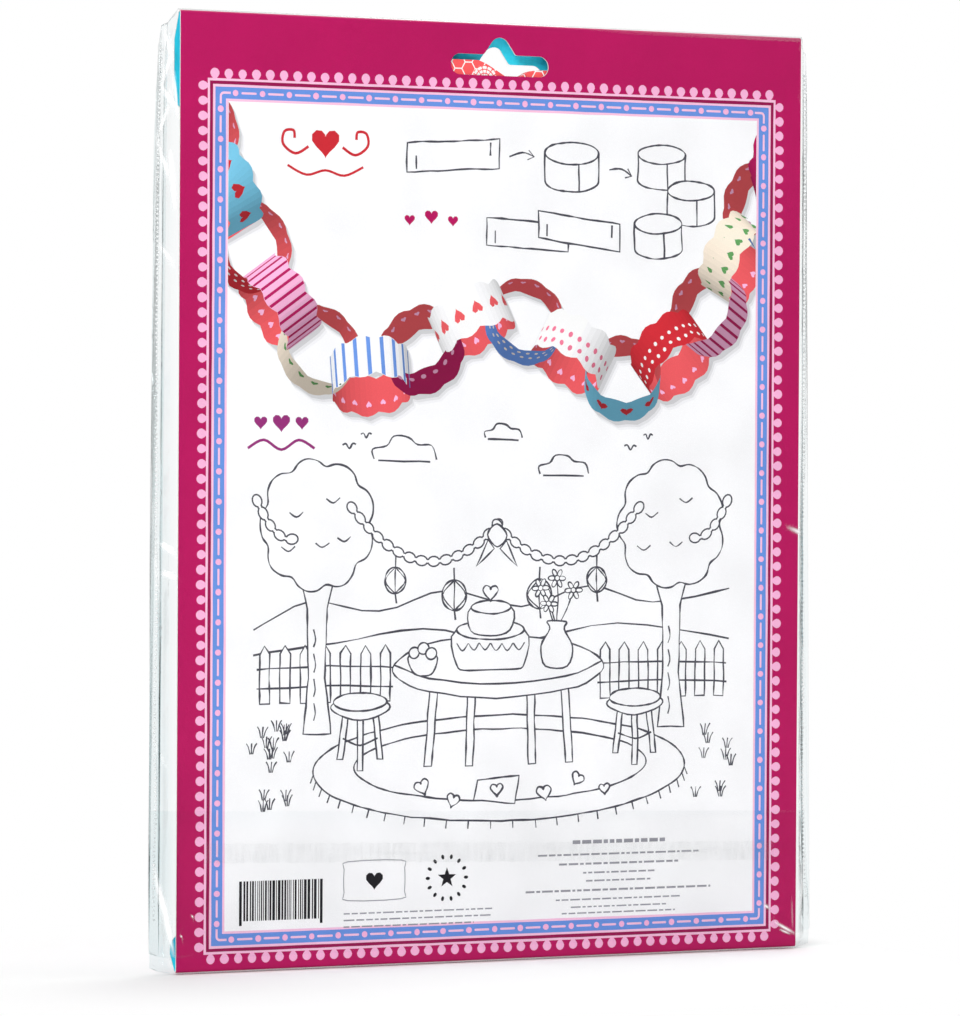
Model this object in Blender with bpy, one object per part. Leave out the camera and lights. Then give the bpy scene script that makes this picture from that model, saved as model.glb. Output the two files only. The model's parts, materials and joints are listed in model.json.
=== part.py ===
"""A flat hanging pack of punch-out paper chain strips.

One printed cover card is folded round a stack of die-cut sheets and slipped into
a clear film bag. Each of these is cut from flat stock, so each is modelled as a
flat pattern that is folded into place and then given its thickness. Units are
metres, +Z is up, +X is to the right of someone who looks at the printed panel,
and the panel faces -Y. The origin is the point of the hang slot that a hook's
prong carries.
"""

import math

import bmesh
import bpy
from mathutils import Vector
from mathutils.geometry import delaunay_2d_cdt

MM = 0.001

# Two places this close are the same place, past what rounding does to a mesh's numbers
ROUNDING = 0.001 * MM

# Cover card: one sheet of board, folded to a header at the top and a lip at the bottom
CARD_WIDTH = 203 * MM
CARD_HEIGHT = 273 * MM
CARD_THICKNESS = 0.45 * MM
FOLD_RADIUS = 0.6 * MM
HEADER_HEIGHT = 28 * MM
HEADER_BEND = 8 * MM
HEADER_CORNER = 4 * MM
LIP_HEIGHT = 11 * MM
LIP_BEND = 5 * MM
LIP_CORNER = 4.5 * MM
FOLD_STEPS = 6
CORNER_STEPS = 5

# Hang slot: a bar with round ends and a raised middle, cut through both leaves
SLOT_WIDTH = 32 * MM
SLOT_BAR = 6.1 * MM
SLOT_HEIGHT = 11.1 * MM
SLOT_BUMP_RADIUS = 3.2 * MM
SLOT_FOOT = 5.2 * MM
SLOT_FROM_FOLD = 4 * MM
HEADER_SLOT_DROP = 2.4 * MM
SLOT_STEPS = 8

# Print on the panel, as fields of colour: a row of picots outside a striped frame
BORDER_SIDE = 8.3 * MM
BORDER_TOP = 18.8 * MM
BORDER_BOTTOM = 4.8 * MM
LINE_WIDTH = 0.7 * MM
GAP_STRIPE = 0.9 * MM
BAND_WIDTH = 3.7 * MM
PICOT_RADIUS = 1.45 * MM
PICOT_HEIGHT = 2.8 * MM
PICOT_PITCH = 4.3 * MM
PICOT_STEPS = 5

# Die-cut sheets of strips, with a shallow notch that clears the hang slot
SHEET_COUNT = 6
SHEET_THICKNESS = 0.35 * MM
SHEET_AIR = 0.25 * MM
SHEET_CLEARANCE = 0.25 * MM
SHEET_SIDE_ROOM = 3.5 * MM
SHEET_TOP_ROOM = 10.7 * MM
SHEET_FOOT_ROOM = 6.3 * MM
NOTCH_WIDTH = 22 * MM
NOTCH_DEPTH = 5 * MM
NOTCH_STEPS = 8

# Strips in a sheet, held by uncut nicks, each with a half slot near either end
STRIP_WIDTH = 29.5 * MM
STRIP_END_MARGIN = 6 * MM
STRIP_FOOT = 6 * MM
KERF = 0.3 * MM
NICK = 1.2 * MM
TAB_SLOT_INSET = 9 * MM
TAB_SLOT_WIDTH = 0.6 * MM

# Film bag: one sheet of film, folded at the top, welded at both sides, with its
# mouth at the bottom and a flap that turns up over the printed panel
FILM = 0.1 * MM
FILM_CLEARANCE = 0.3 * MM
BAG_MARGIN_LEFT = 7.5 * MM
BAG_MARGIN_RIGHT = 4 * MM
WELD_WIDTH_LEFT = 3 * MM
WELD_WIDTH_RIGHT = 1.5 * MM
WELD_LEAVES_APART = 0.8 * MM
WELD_CORNER_DROP = 3.5 * MM
WELD_CORNER_RISE = 0.8 * MM
WELD_CORNER_REACH = 40 * MM
FILM_SLOT_MARGIN = 0.4 * MM
MOUTH_HEIGHT = 4 * MM
FLAP_GAP = 0.4 * MM
FLAP_STEP = 1.2 * MM
FLAP_HEIGHT_LEFT = 46 * MM
FLAP_HEIGHT_RIGHT = 41 * MM
FLAP_INSET = 2 * MM
ADHESIVE_BELOW_EDGE = 9 * MM
ADHESIVE_WIDTH = 6 * MM
ADHESIVE_THICKNESS = 0.1 * MM
ADHESIVE_INSET = 8 * MM

# Worked out from the sizes above. Depth runs from the printed face towards +Y,
# and drop runs down from the top of the top fold.
STACK_DEPTH = SHEET_COUNT * SHEET_THICKNESS + (SHEET_COUNT - 1) * SHEET_AIR
HEADER_INNER = CARD_THICKNESS + STACK_DEPTH + 2 * SHEET_CLEARANCE
CARD_DEPTH = HEADER_INNER + CARD_THICKNESS
LEAF_DEPTH = CARD_DEPTH - CARD_THICKNESS / 2
FOLD_OUTSIDE = FOLD_RADIUS + CARD_THICKNESS / 2
SHEET_WIDTH = CARD_WIDTH - 2 * SHEET_SIDE_ROOM
SHEET_HEIGHT = CARD_HEIGHT - SHEET_TOP_ROOM - SHEET_FOOT_ROOM
STRIP_LENGTH = SHEET_WIDTH - 2 * STRIP_END_MARGIN
STRIP_COUNT = int((SHEET_HEIGHT - NOTCH_DEPTH - 2 * STRIP_FOOT) / STRIP_WIDTH)
SLOT_BAR_DROP = SLOT_FROM_FOLD + SLOT_HEIGHT - SLOT_BAR / 2
HANG_DROP = SLOT_FROM_FOLD + HEADER_SLOT_DROP + FILM_SLOT_MARGIN
FILM_STAND_OFF = FILM_CLEARANCE + FILM / 2
FLAP_STAND_OFF = FILM_STAND_OFF + FILM + FLAP_GAP


def at(x, depth, drop):
    """The point of the frame at this depth behind the print and drop below the top fold."""
    return Vector((x, depth - CARD_DEPTH / 2, HANG_DROP - drop))


def clear_scene():
    """Remove what a new file holds."""
    for thing in list(bpy.data.objects):
        bpy.data.objects.remove(thing, do_unlink=True)


def finish(name, colour, roughness, alpha=1.0):
    """A Principled material in one plain colour."""
    material = bpy.data.materials.new(name)
    material.use_nodes = True
    shader = material.node_tree.nodes["Principled BSDF"]
    shader.inputs["Base Color"].default_value = (*colour, 1.0)
    shader.inputs["Roughness"].default_value = roughness
    shader.inputs["Metallic"].default_value = 0.0
    shader.inputs["Alpha"].default_value = alpha
    return material


def arc(centre, radius, start, end, steps):
    """Points of an arc in a plane, from start to end in degrees, both ends included."""
    points = []
    for i in range(steps + 1):
        turn = math.radians(start + (end - start) * i / steps)
        points.append((centre[0] + radius * math.cos(turn), centre[1] + radius * math.sin(turn)))
    return points


def rectangle(left, right, low, high):
    """Outline of a rectangle."""
    return [(left, low), (right, low), (right, high), (left, high)]


def rounded_blank(width, length, start_corner, end_corner):
    """Outline of a sheet from 0 to its length, with round corners at each end."""
    half = width / 2
    outline = arc((-half + start_corner, start_corner), start_corner, 180, 270, CORNER_STEPS)
    outline += arc((half - start_corner, start_corner), start_corner, 270, 360, CORNER_STEPS)
    outline += arc((half - end_corner, length - end_corner), end_corner, 0, 90, CORNER_STEPS)
    outline += arc((-half + end_corner, length - end_corner), end_corner, 90, 180, CORNER_STEPS)
    return outline


def hang_slot(centre_run, up, margin=0.0):
    """Outline of the hang slot round the middle of its bar; up is 1 or -1, the raised side."""
    end_radius = SLOT_BAR / 2 - margin
    end_centre = SLOT_WIDTH / 2 - SLOT_BAR / 2
    bump = SLOT_BUMP_RADIUS - margin
    bump_centre = SLOT_HEIGHT - SLOT_BAR / 2 - SLOT_BUMP_RADIUS
    foot = SLOT_FOOT - margin
    away = math.hypot(foot, end_radius - bump_centre)
    lean = math.degrees(math.atan2(end_radius - bump_centre, foot) + math.acos(bump / away))
    outline = arc((end_centre, 0), end_radius, -90, 90, SLOT_STEPS)
    outline.append((foot, end_radius))
    outline += arc((0, bump_centre), bump, lean, 180 - lean, SLOT_STEPS)
    outline.append((-foot, end_radius))
    outline += arc((-end_centre, 0), end_radius, 90, 270, SLOT_STEPS)
    return [(x, centre_run + up * y) for x, y in outline]


def sides(outline):
    """The sides of a closed outline, as pairs of points."""
    return list(zip(outline, outline[1:] + outline[:1]))


def inside(point, outline):
    """Whether a point lies inside a closed outline."""
    within = False
    for (ax, ay), (bx, by) in sides(outline):
        if (ay > point[1]) != (by > point[1]):
            if point[0] < (bx - ax) * (point[1] - ay) / (by - ay) + ax:
                within = not within
    return within


def flat_faces(outline, holes, lines):
    """Triangles of a flat blank with holes, with edges along its crease and colour lines."""
    points, edges = [], []
    for start, end in [side for loop in (outline, *holes) for side in sides(loop)] + lines:
        edges.append((len(points), len(points) + 1))
        points += [start, end]
    flat = [Vector((x / MM, y / MM)) for x, y in points]
    found, _, triangles, *_ = delaunay_2d_cdt(flat, edges, [], 0, 1e-4)
    found = [(p.x * MM, p.y * MM) for p in found]
    kept = []
    for triangle in triangles:
        middle = (
            sum(found[i][0] for i in triangle) / 3,
            sum(found[i][1] for i in triangle) / 3,
        )
        if inside(middle, outline) and not any(inside(middle, hole) for hole in holes):
            kept.append((triangle, middle))
    return found, kept


def run_lengths(path):
    """Length along a path up to each of its points."""
    lengths = [0.0]
    for start, end in zip(path, path[1:]):
        lengths.append(lengths[-1] + math.dist(start, end))
    return lengths


def along(path, lengths, run):
    """Point of a path at this run of the flat blank, whose creases lie at these lengths."""
    i = 0
    while i < len(path) - 2 and run > lengths[i + 1]:
        i += 1
    share = (run - lengths[i]) / (lengths[i + 1] - lengths[i])
    return Vector(path[i]).lerp(Vector(path[i + 1]), share)


def folded_sheet(name, blank, place, colour_of, materials, thickness, weld=None):
    """A sheet cut flat, put in place point by point, then given its thickness.

    blank is its outline, holes and lines. colour_of gives a face's material from the
    middle of the face. The print's materials come first in materials, then as many for
    the other side, then one for the cut edges. weld picks the points of the outline
    that meet along a weld, in order, for each side that is welded.
    """
    flat, kept = flat_faces(*blank)
    shape = bmesh.new()
    used = sorted({i for triangle, _ in kept for i in triangle})
    corners = {i: shape.verts.new(place(*flat[i])) for i in used}
    for triangle, middle in kept:
        face = shape.faces.new([corners[i] for i in triangle])
        face.material_index = colour_of(*middle)
    if weld:
        for edge_x, end_run in weld:
            seam = [i for i in used if abs(flat[i][0] - edge_x) < ROUNDING]
            seam = [i for i in seam if flat[i][1] < end_run + ROUNDING]
            seam.sort(key=lambda i: flat[i][1])
            face = shape.faces.new([corners[i] for i in seam])
            bmesh.ops.triangulate(shape, faces=[face], ngon_method="EAR_CLIP")
    bmesh.ops.recalc_face_normals(shape, faces=shape.faces)
    mesh = bpy.data.meshes.new(name)
    shape.to_mesh(mesh)
    shape.free()
    for material in materials:
        mesh.materials.append(material)
    sheet = bpy.data.objects.new(name, mesh)
    bpy.context.scene.collection.objects.link(sheet)
    board = sheet.modifiers.new("board", "SOLIDIFY")
    board.thickness = thickness
    board.offset = 0.0
    board.use_even_offset = True
    board.material_offset = (len(materials) - 1) // 2
    board.material_offset_rim = len(materials) - 1
    return sheet


def fold_points(fold_drop, side, bend_drop, stand_off=0.0):
    """Line round one of the card's folds, from the panel to the bend of the leaf.

    side is 1 for the top fold and -1 for the bottom one. The line runs stand_off
    outside the middle of the board, which leaves the fold on the straight that
    touches the fold's circle and ends at the bend.
    """
    centre_drop = fold_drop + side * FOLD_OUTSIDE
    across = LEAF_DEPTH - FOLD_OUTSIDE
    down = side * (bend_drop - centre_drop)
    lean = math.atan2(across, down) - math.asin(FOLD_RADIUS / math.hypot(across, down))
    radius = FOLD_RADIUS + stand_off
    points = []
    for i in range(FOLD_STEPS + 1):
        turn = math.pi + (math.pi - lean) * i / FOLD_STEPS
        depth = FOLD_OUTSIDE + radius * math.cos(turn)
        points.append((depth, centre_drop + side * radius * math.sin(turn)))
    points.append((LEAF_DEPTH + stand_off, bend_drop - side * stand_off * math.tan(lean / 2)))
    return points


def picot_row(start, end, outward):
    """Outlines of a row of picots whose feet stand on the line from start to end."""
    start, end, outward = Vector(start), Vector(end), Vector(outward)
    length = (end - start).length
    count = round(length / PICOT_PITCH)
    along_row = (end - start) / length
    rise = PICOT_HEIGHT - PICOT_RADIUS
    lean = math.degrees(math.asin(rise / PICOT_RADIUS)) if rise < PICOT_RADIUS else 90
    row = []
    for i in range(count):
        foot = start + along_row * length * (i + 0.5) / count
        head = arc((0.0, rise), PICOT_RADIUS, -lean, 180 + lean, PICOT_STEPS)
        row.append([tuple(foot + along_row * x + outward * y) for x, y in head])
    return row


def build_cover_card():
    """The folded cover: printed panel, header with its slot, and bottom lip."""
    lip = fold_points(CARD_HEIGHT, -1, CARD_HEIGHT - LIP_BEND)
    header = fold_points(0.0, 1, HEADER_BEND)
    path = [
        (LEAF_DEPTH, CARD_HEIGHT - LIP_HEIGHT),
        *reversed(lip),
        *header,
        (LEAF_DEPTH, HEADER_HEIGHT),
    ]
    lengths = run_lengths(path)
    panel_low = len(lip)
    header_bend = panel_low + len(header)

    def place(x, run):
        return at(x, *along(path, lengths, run))

    def panel_run(drop):
        return lengths[panel_low] + path[panel_low][1] - drop

    header_bar = lengths[header_bend] + SLOT_BAR_DROP + HEADER_SLOT_DROP - HEADER_BEND
    holes = [hang_slot(panel_run(SLOT_BAR_DROP), 1), hang_slot(header_bar, -1)]
    half = CARD_WIDTH / 2
    lines = [((-CARD_WIDTH, run), (CARD_WIDTH, run)) for run in lengths[1:-1]]

    fields = []
    inset = 0.0
    for width in (LINE_WIDTH, GAP_STRIPE, LINE_WIDTH, BAND_WIDTH, LINE_WIDTH, 0.0):
        across = half - BORDER_SIDE - inset
        low = panel_run(CARD_HEIGHT - BORDER_BOTTOM - inset)
        fields.append(rectangle(-across, across, low, panel_run(BORDER_TOP + inset)))
        inset += width
    picots = []
    outward = ((0, -1), (1, 0), (0, 1), (-1, 0))
    for (start, end), away in zip(sides(fields[0]), outward):
        picots += picot_row(start, end, away)
    for shape in fields + picots:
        lines += sides(shape)

    ground, pink, blue, white = range(4)
    nested = [ground, pink, ground, pink, blue, pink, white]

    def colour_of(x, run):
        depth = sum(inside((x, run), field) for field in fields)
        on_panel = panel_run(CARD_HEIGHT) < run < panel_run(0.0)
        if depth == 0 and on_panel and any(inside((x, run), picot) for picot in picots):
            return pink
        return nested[depth]

    printed = [
        finish("magenta_print", (0.5, 0.021, 0.13), 0.35),
        finish("pink_print", (0.95, 0.53, 0.76), 0.35),
        finish("blue_print", (0.17, 0.34, 0.78), 0.35),
        finish("white_print", (0.93, 0.93, 0.94), 0.35),
    ]
    inner = [finish("teal_print", (0.03, 0.55, 0.66), 0.4)] * len(printed)
    edge = finish("board_edge", (0.86, 0.86, 0.84), 0.8)
    outline = rounded_blank(CARD_WIDTH, lengths[-1], LIP_CORNER, HEADER_CORNER)
    return folded_sheet(
        "cover_card",
        (outline, holes, lines),
        place,
        colour_of,
        [*printed, *inner, edge],
        CARD_THICKNESS,
    )


def notched_outline():
    """Outline of a sheet, with the shallow notch that clears the hang slot."""
    half = SHEET_WIDTH / 2
    radius = (NOTCH_WIDTH**2 / 4 + NOTCH_DEPTH**2) / (2 * NOTCH_DEPTH)
    spread = math.degrees(math.asin(NOTCH_WIDTH / 2 / radius))
    centre = (0.0, SHEET_HEIGHT + radius - NOTCH_DEPTH)
    notch = arc(centre, radius, 270 + spread, 270 - spread, NOTCH_STEPS)
    return [(-half, 0.0), (half, 0.0), (half, SHEET_HEIGHT), *notch, (-half, SHEET_HEIGHT)]


def strip_cuts():
    """Die cuts of one sheet, and the outlines of the strips that they free."""
    ends = STRIP_LENGTH / 2
    cuts, strips = [], []
    for i in range(STRIP_COUNT + 1):
        line = STRIP_FOOT + i * STRIP_WIDTH
        cuts.append(rectangle(-ends + NICK, -NICK / 2, line, line + KERF))
        cuts.append(rectangle(NICK / 2, ends - NICK, line, line + KERF))
    for i in range(STRIP_COUNT):
        low = STRIP_FOOT + i * STRIP_WIDTH + KERF
        high = low - KERF + STRIP_WIDTH
        middle = (low + high) / 2
        strips.append(rectangle(-ends, ends, low, high))
        for side in (-1, 1):
            beyond = sorted((side * ends, side * (ends + KERF)))
            cuts.append(rectangle(*beyond, low + NICK, high - NICK))
            tab = side * (ends - TAB_SLOT_INSET)
            reach = sorted((middle, middle + side * (STRIP_WIDTH / 2 - NICK)))
            cuts.append(rectangle(tab - TAB_SLOT_WIDTH / 2, tab + TAB_SLOT_WIDTH / 2, *reach))
    return cuts, strips


def build_strip_sheets():
    """The stack of die-cut sheets between the card's leaves."""
    cuts, strips = strip_cuts()
    lines = [side for strip in strips for side in sides(strip)]
    paper = finish("bare_paper", (0.93, 0.93, 0.91), 0.7)
    inks = [
        paper,
        finish("coral_strip", (0.85, 0.09, 0.12), 0.6),
        finish("rose_strip", (0.9, 0.3, 0.42), 0.6),
        finish("sky_strip", (0.3, 0.68, 0.85), 0.6),
        finish("cream_strip", (0.92, 0.85, 0.72), 0.6),
    ]

    def colour_of(x, run):
        for i, strip in enumerate(strips):
            if inside((x, run), strip):
                return 1 + i % (len(inks) - 1)
        return 0

    foot_drop = CARD_HEIGHT - SHEET_FOOT_ROOM
    nearest = CARD_THICKNESS + SHEET_CLEARANCE + SHEET_THICKNESS / 2
    for i in range(SHEET_COUNT):
        middle = nearest + i * (SHEET_THICKNESS + SHEET_AIR)

        def place(x, run, depth=middle):
            return at(x, depth, foot_drop - run)

        folded_sheet(
            f"strip_sheet_{i + 1}",
            (notched_outline(), cuts, lines),
            place,
            colour_of,
            [*inks, *inks, paper],
            SHEET_THICKNESS,
        )


def flap_edge_drop(x):
    """Drop of the flap's slanting upper edge at x."""
    share = x / CARD_WIDTH + 0.5
    height = FLAP_HEIGHT_LEFT + share * (FLAP_HEIGHT_RIGHT - FLAP_HEIGHT_LEFT)
    return CARD_HEIGHT - height


def film_over_card():
    """Middle line of the film where it passes over the card, from mouth to flap."""
    stand_off = CARD_THICKNESS / 2 + FILM_STAND_OFF
    mouth = CARD_HEIGHT - MOUTH_HEIGHT
    bottom = fold_points(CARD_HEIGHT, -1, CARD_HEIGHT - LIP_BEND, stand_off)
    return [
        (-FILM_STAND_OFF, mouth),
        *fold_points(0.0, 1, HEADER_BEND, stand_off),
        *reversed(bottom),
        (-FLAP_STAND_OFF, CARD_HEIGHT - FOLD_OUTSIDE - FLAP_STEP),
        (-FLAP_STAND_OFF, flap_edge_drop(0.0)),
    ]


def film_at_weld(over_card):
    """The same line at the welds, where the leaves come together behind each other."""
    middle = CARD_DEPTH / 2
    squeeze = WELD_LEAVES_APART / (CARD_DEPTH + 2 * FILM_STAND_OFF)
    fold_reach = FOLD_OUTSIDE + FILM_STAND_OFF + ROUNDING

    def drawn_in(from_fold, corner):
        folded = from_fold * squeeze if from_fold < fold_reach else from_fold
        return folded + corner * max(0.0, 1 - from_fold / WELD_CORNER_REACH)

    top, bottom = -FILM_STAND_OFF, CARD_HEIGHT + FILM_STAND_OFF
    line = []
    for depth, drop in over_card:
        if drop - top < bottom - drop:
            drop = top + drawn_in(drop - top, WELD_CORNER_DROP)
        else:
            drop = bottom - drawn_in(bottom - drop, WELD_CORNER_RISE)
        beyond = min(0.0, depth + FILM_STAND_OFF)
        line.append((middle + (depth - beyond - middle) * squeeze + beyond, drop))
    return line


def build_film_bag():
    """The clear bag: a welded pouch with hang slots, an open mouth, and the flap round it."""
    left = -CARD_WIDTH / 2 - BAG_MARGIN_LEFT
    right = CARD_WIDTH / 2 + BAG_MARGIN_RIGHT
    weld_left, weld_right = left + WELD_WIDTH_LEFT, right - WELD_WIDTH_RIGHT
    card_edge = CARD_WIDTH / 2 + FILM_CLEARANCE
    over_card = film_over_card()
    at_weld = film_at_weld(over_card)
    lengths = run_lengths(over_card)
    front_top = 1 + FOLD_STEPS + 1
    flap_foot = len(lengths) - 2

    def place(x, run):
        if x < 0:
            share = (-card_edge - x) / (-card_edge - weld_left)
        else:
            share = (x - card_edge) / (weld_right - card_edge)
        share = min(max(share, 0.0), 1.0)
        point = along(over_card, lengths, run).lerp(along(at_weld, lengths, run), share)
        return at(x, *point)

    mouth_run = lengths[front_top] + CARD_HEIGHT - MOUTH_HEIGHT - over_card[front_top][1]
    panel_bar = over_card[0][1] - SLOT_BAR_DROP
    header_bar = lengths[front_top] + SLOT_BAR_DROP + HEADER_SLOT_DROP - over_card[front_top][1]
    holes = [hang_slot(panel_bar, 1, FILM_SLOT_MARGIN), hang_slot(header_bar, -1, FILM_SLOT_MARGIN)]

    flap_left, flap_right = left + FLAP_INSET, right - FLAP_INSET

    def flap_run(x):
        return lengths[flap_foot] + over_card[flap_foot][1] - flap_edge_drop(x)

    outline = [
        (left, 0.0),
        (right, 0.0),
        (right, mouth_run),
        (flap_right, mouth_run + FLAP_INSET),
        (flap_right, flap_run(flap_right)),
        (flap_left, flap_run(flap_left)),
        (flap_left, mouth_run + FLAP_INSET),
        (left, mouth_run),
    ]
    lines = [((2 * left, run), (2 * right, run)) for run in (*lengths[1:-1], mouth_run)]
    for x in (weld_left, -card_edge, card_edge, weld_right):
        lines.append(((x, -CARD_HEIGHT), (x, 2 * lengths[-1])))
    clear = finish("clear_film", (0.9, 0.95, 0.95), 0.1, 0.25)
    return folded_sheet(
        "film_bag",
        (outline, holes, lines),
        place,
        lambda x, run: 0,
        [clear],
        FILM,
        weld=[(left, mouth_run), (right, mouth_run)],
    )


def build_flap_adhesive():
    """The strip of adhesive that holds the flap to the back of the pouch."""
    half = CARD_WIDTH / 2 - ADHESIVE_INSET
    depth = -FILM_STAND_OFF - (FILM + FLAP_GAP) / 2
    upper = ADHESIVE_BELOW_EDGE
    lower = ADHESIVE_BELOW_EDGE + ADHESIVE_WIDTH
    outline = [
        (-half, flap_edge_drop(-half) + lower),
        (half, flap_edge_drop(half) + lower),
        (half, flap_edge_drop(half) + upper),
        (-half, flap_edge_drop(-half) + upper),
    ]
    return folded_sheet(
        "flap_adhesive",
        (outline, [], []),
        lambda x, drop: at(x, depth, drop),
        lambda x, drop: 0,
        [finish("adhesive", (0.9, 0.9, 0.88), 0.3, 0.5)],
        ADHESIVE_THICKNESS,
    )


def main():
    clear_scene()
    build_cover_card()
    build_strip_sheets()
    build_film_bag()
    build_flap_adhesive()


main()
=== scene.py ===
# %% [markdown]
# A flat hanging pack of paper chain strips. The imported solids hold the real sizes:
# a cover card folded round a stack of die-cut sheets, in a clear film bag. This
# notebook gives each of them its finish. The print of the card is cut into the card's
# own surface as fields of colour, so that it stays sharp from any distance. The film
# is laid again as one fine sheet with the kinks that a hand-filled bag has.

# %% Load the frame
import json
import math
import random

import bmesh
import bpy
import numpy as np
from mathutils import Matrix, Vector, noise
from mathutils.geometry import delaunay_2d_cdt, intersect_line_line_2d, tessellate_polygon

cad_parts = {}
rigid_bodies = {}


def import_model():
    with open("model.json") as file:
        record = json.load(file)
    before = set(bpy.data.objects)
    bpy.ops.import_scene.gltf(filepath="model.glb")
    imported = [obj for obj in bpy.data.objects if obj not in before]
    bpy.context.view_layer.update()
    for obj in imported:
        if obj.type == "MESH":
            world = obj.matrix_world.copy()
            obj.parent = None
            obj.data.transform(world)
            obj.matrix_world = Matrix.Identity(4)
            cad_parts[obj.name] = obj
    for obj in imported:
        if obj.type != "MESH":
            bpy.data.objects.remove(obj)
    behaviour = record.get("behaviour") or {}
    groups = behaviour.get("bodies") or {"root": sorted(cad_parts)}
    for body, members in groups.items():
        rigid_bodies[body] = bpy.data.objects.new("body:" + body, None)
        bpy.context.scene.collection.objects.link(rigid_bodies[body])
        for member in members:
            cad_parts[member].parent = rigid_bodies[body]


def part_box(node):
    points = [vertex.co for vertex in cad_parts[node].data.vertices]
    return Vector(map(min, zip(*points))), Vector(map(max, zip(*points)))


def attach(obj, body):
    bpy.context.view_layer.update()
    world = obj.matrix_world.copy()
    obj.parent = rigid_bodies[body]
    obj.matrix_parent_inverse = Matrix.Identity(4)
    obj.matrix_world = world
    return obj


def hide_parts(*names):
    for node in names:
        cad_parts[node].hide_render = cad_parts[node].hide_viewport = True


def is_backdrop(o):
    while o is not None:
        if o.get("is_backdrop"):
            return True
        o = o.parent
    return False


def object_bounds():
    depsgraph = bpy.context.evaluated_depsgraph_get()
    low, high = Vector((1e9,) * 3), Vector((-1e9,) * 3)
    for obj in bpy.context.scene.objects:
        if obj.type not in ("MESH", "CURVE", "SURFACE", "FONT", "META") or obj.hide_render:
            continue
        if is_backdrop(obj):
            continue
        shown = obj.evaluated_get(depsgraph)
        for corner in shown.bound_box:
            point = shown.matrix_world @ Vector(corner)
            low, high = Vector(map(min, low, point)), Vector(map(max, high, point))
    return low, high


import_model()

MM = 0.001
cad_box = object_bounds()
card_low, card_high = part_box("cover_card")
print("card", [round((h - l) / MM, 2) for l, h in zip(card_low, card_high)], "mm")

# %% [markdown]
# The photograph was taken from the left of the pack with a long lens. The camera's
# place comes from the card's own corners: four points of a flat sheet of known size fix
# where it was seen from. Its focal length is kept in pixels of the photograph, and its
# turn and offset are those of the panel as the camera sees it.

# %% Camera
PHOTO_HEIGHT = 1016
FOCAL_PIXELS = 5339
PANEL_TURN = math.radians(-26.9)
PANEL_TILT = math.radians(-0.66)
PANEL_ROLL = math.radians(-0.32)
PANEL_OFFSET = Vector((5.1, 4.6, 1558)) * MM
SENSOR = 36.0


def turned(axis, angle):
    """Rotation about one axis of the camera's frame: right, up and away."""
    return Matrix.Rotation(angle, 3, axis)


panel_middle = Vector((0.0, card_low.y, (card_low.z + card_high.z) / 2))
seen = turned("Z", PANEL_ROLL) @ turned("X", PANEL_TILT) @ turned("Y", PANEL_TURN)


def to_frame(direction):
    """A direction given as right, up and away, in the frame's own axes."""
    return Vector((direction.x, direction.z, direction.y))


camera_data = bpy.data.cameras.new("photo_camera")
camera_data.sensor_width = SENSOR
camera_data.lens = SENSOR * FOCAL_PIXELS / PHOTO_HEIGHT
camera = bpy.data.objects.new("photo_camera", camera_data)
bpy.context.scene.collection.objects.link(camera)
axes = [to_frame(seen[0]), to_frame(seen[1]), -to_frame(seen[2])]
camera.matrix_world = Matrix.Translation(panel_middle + to_frame(seen.transposed() @ -PANEL_OFFSET)) @ (
    Matrix(axes).transposed().to_4x4()
)
bpy.context.scene.camera = camera
bpy.context.scene.view_settings.view_transform = "Standard"
print("lens", round(camera_data.lens, 1), "mm, at", [round(c, 3) for c in camera.location])

# %% [markdown]
# The pack stands on a plain white sweep. Right under it the floor takes the pack's
# shadow, and a hand's breadth away it fades into the white of the background, which only
# the camera sees. What the film mirrors face on is the dim side of the studio, as in the
# photo, where the print under the film keeps its full depth of colour; at a glancing
# angle it mirrors the white sweep behind. The light on the pack itself stays at a level
# at which a colour renders as it is written, with a soft key from the left and above.

# %% Floor and world
FLOOR_REACH = 6.0
FLOOR_FADE_START = 0.03
FLOOR_FADE_END = 0.15
BACKGROUND = 1.0
ROOM_LIGHT = 0.37
MIRRORED_ROOM = 0.07
MIRRORED_SWEEP = 0.95
scene_objects = bpy.context.scene.collection.objects


def new_object(name, mesh):
    """An object for a mesh, linked into the scene with its place in the mesh."""
    made = bpy.data.objects.new(name, mesh)
    scene_objects.link(made)
    return made


def new_material(name):
    """An empty material with its output node."""
    material = bpy.data.materials.new(name)
    material.use_nodes = True
    material.node_tree.nodes.clear()
    output = material.node_tree.nodes.new("ShaderNodeOutputMaterial")
    return material, material.node_tree, output


def add(tree, kind, inputs=None, **settings):
    """A node with its settings, and its inputs set to a value or wired to a socket."""
    node = tree.nodes.new(kind)
    for key, value in settings.items():
        setattr(node, key, value)
    for key, value in (inputs or {}).items():
        if isinstance(value, bpy.types.NodeSocket):
            tree.links.new(value, node.inputs[key])
        else:
            node.inputs[key].default_value = value
    return node


def background_ray(tree):
    """1 where the ray comes from the camera, through clear things too, else 0."""
    path = add(tree, "ShaderNodeLightPath")
    both = add(tree, "ShaderNodeMath", {0: path.outputs["Is Camera Ray"], 1: path.outputs["Is Transmission Ray"]},
               operation="MAXIMUM")
    return both.outputs[0], path.outputs["Is Glossy Ray"]


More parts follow.
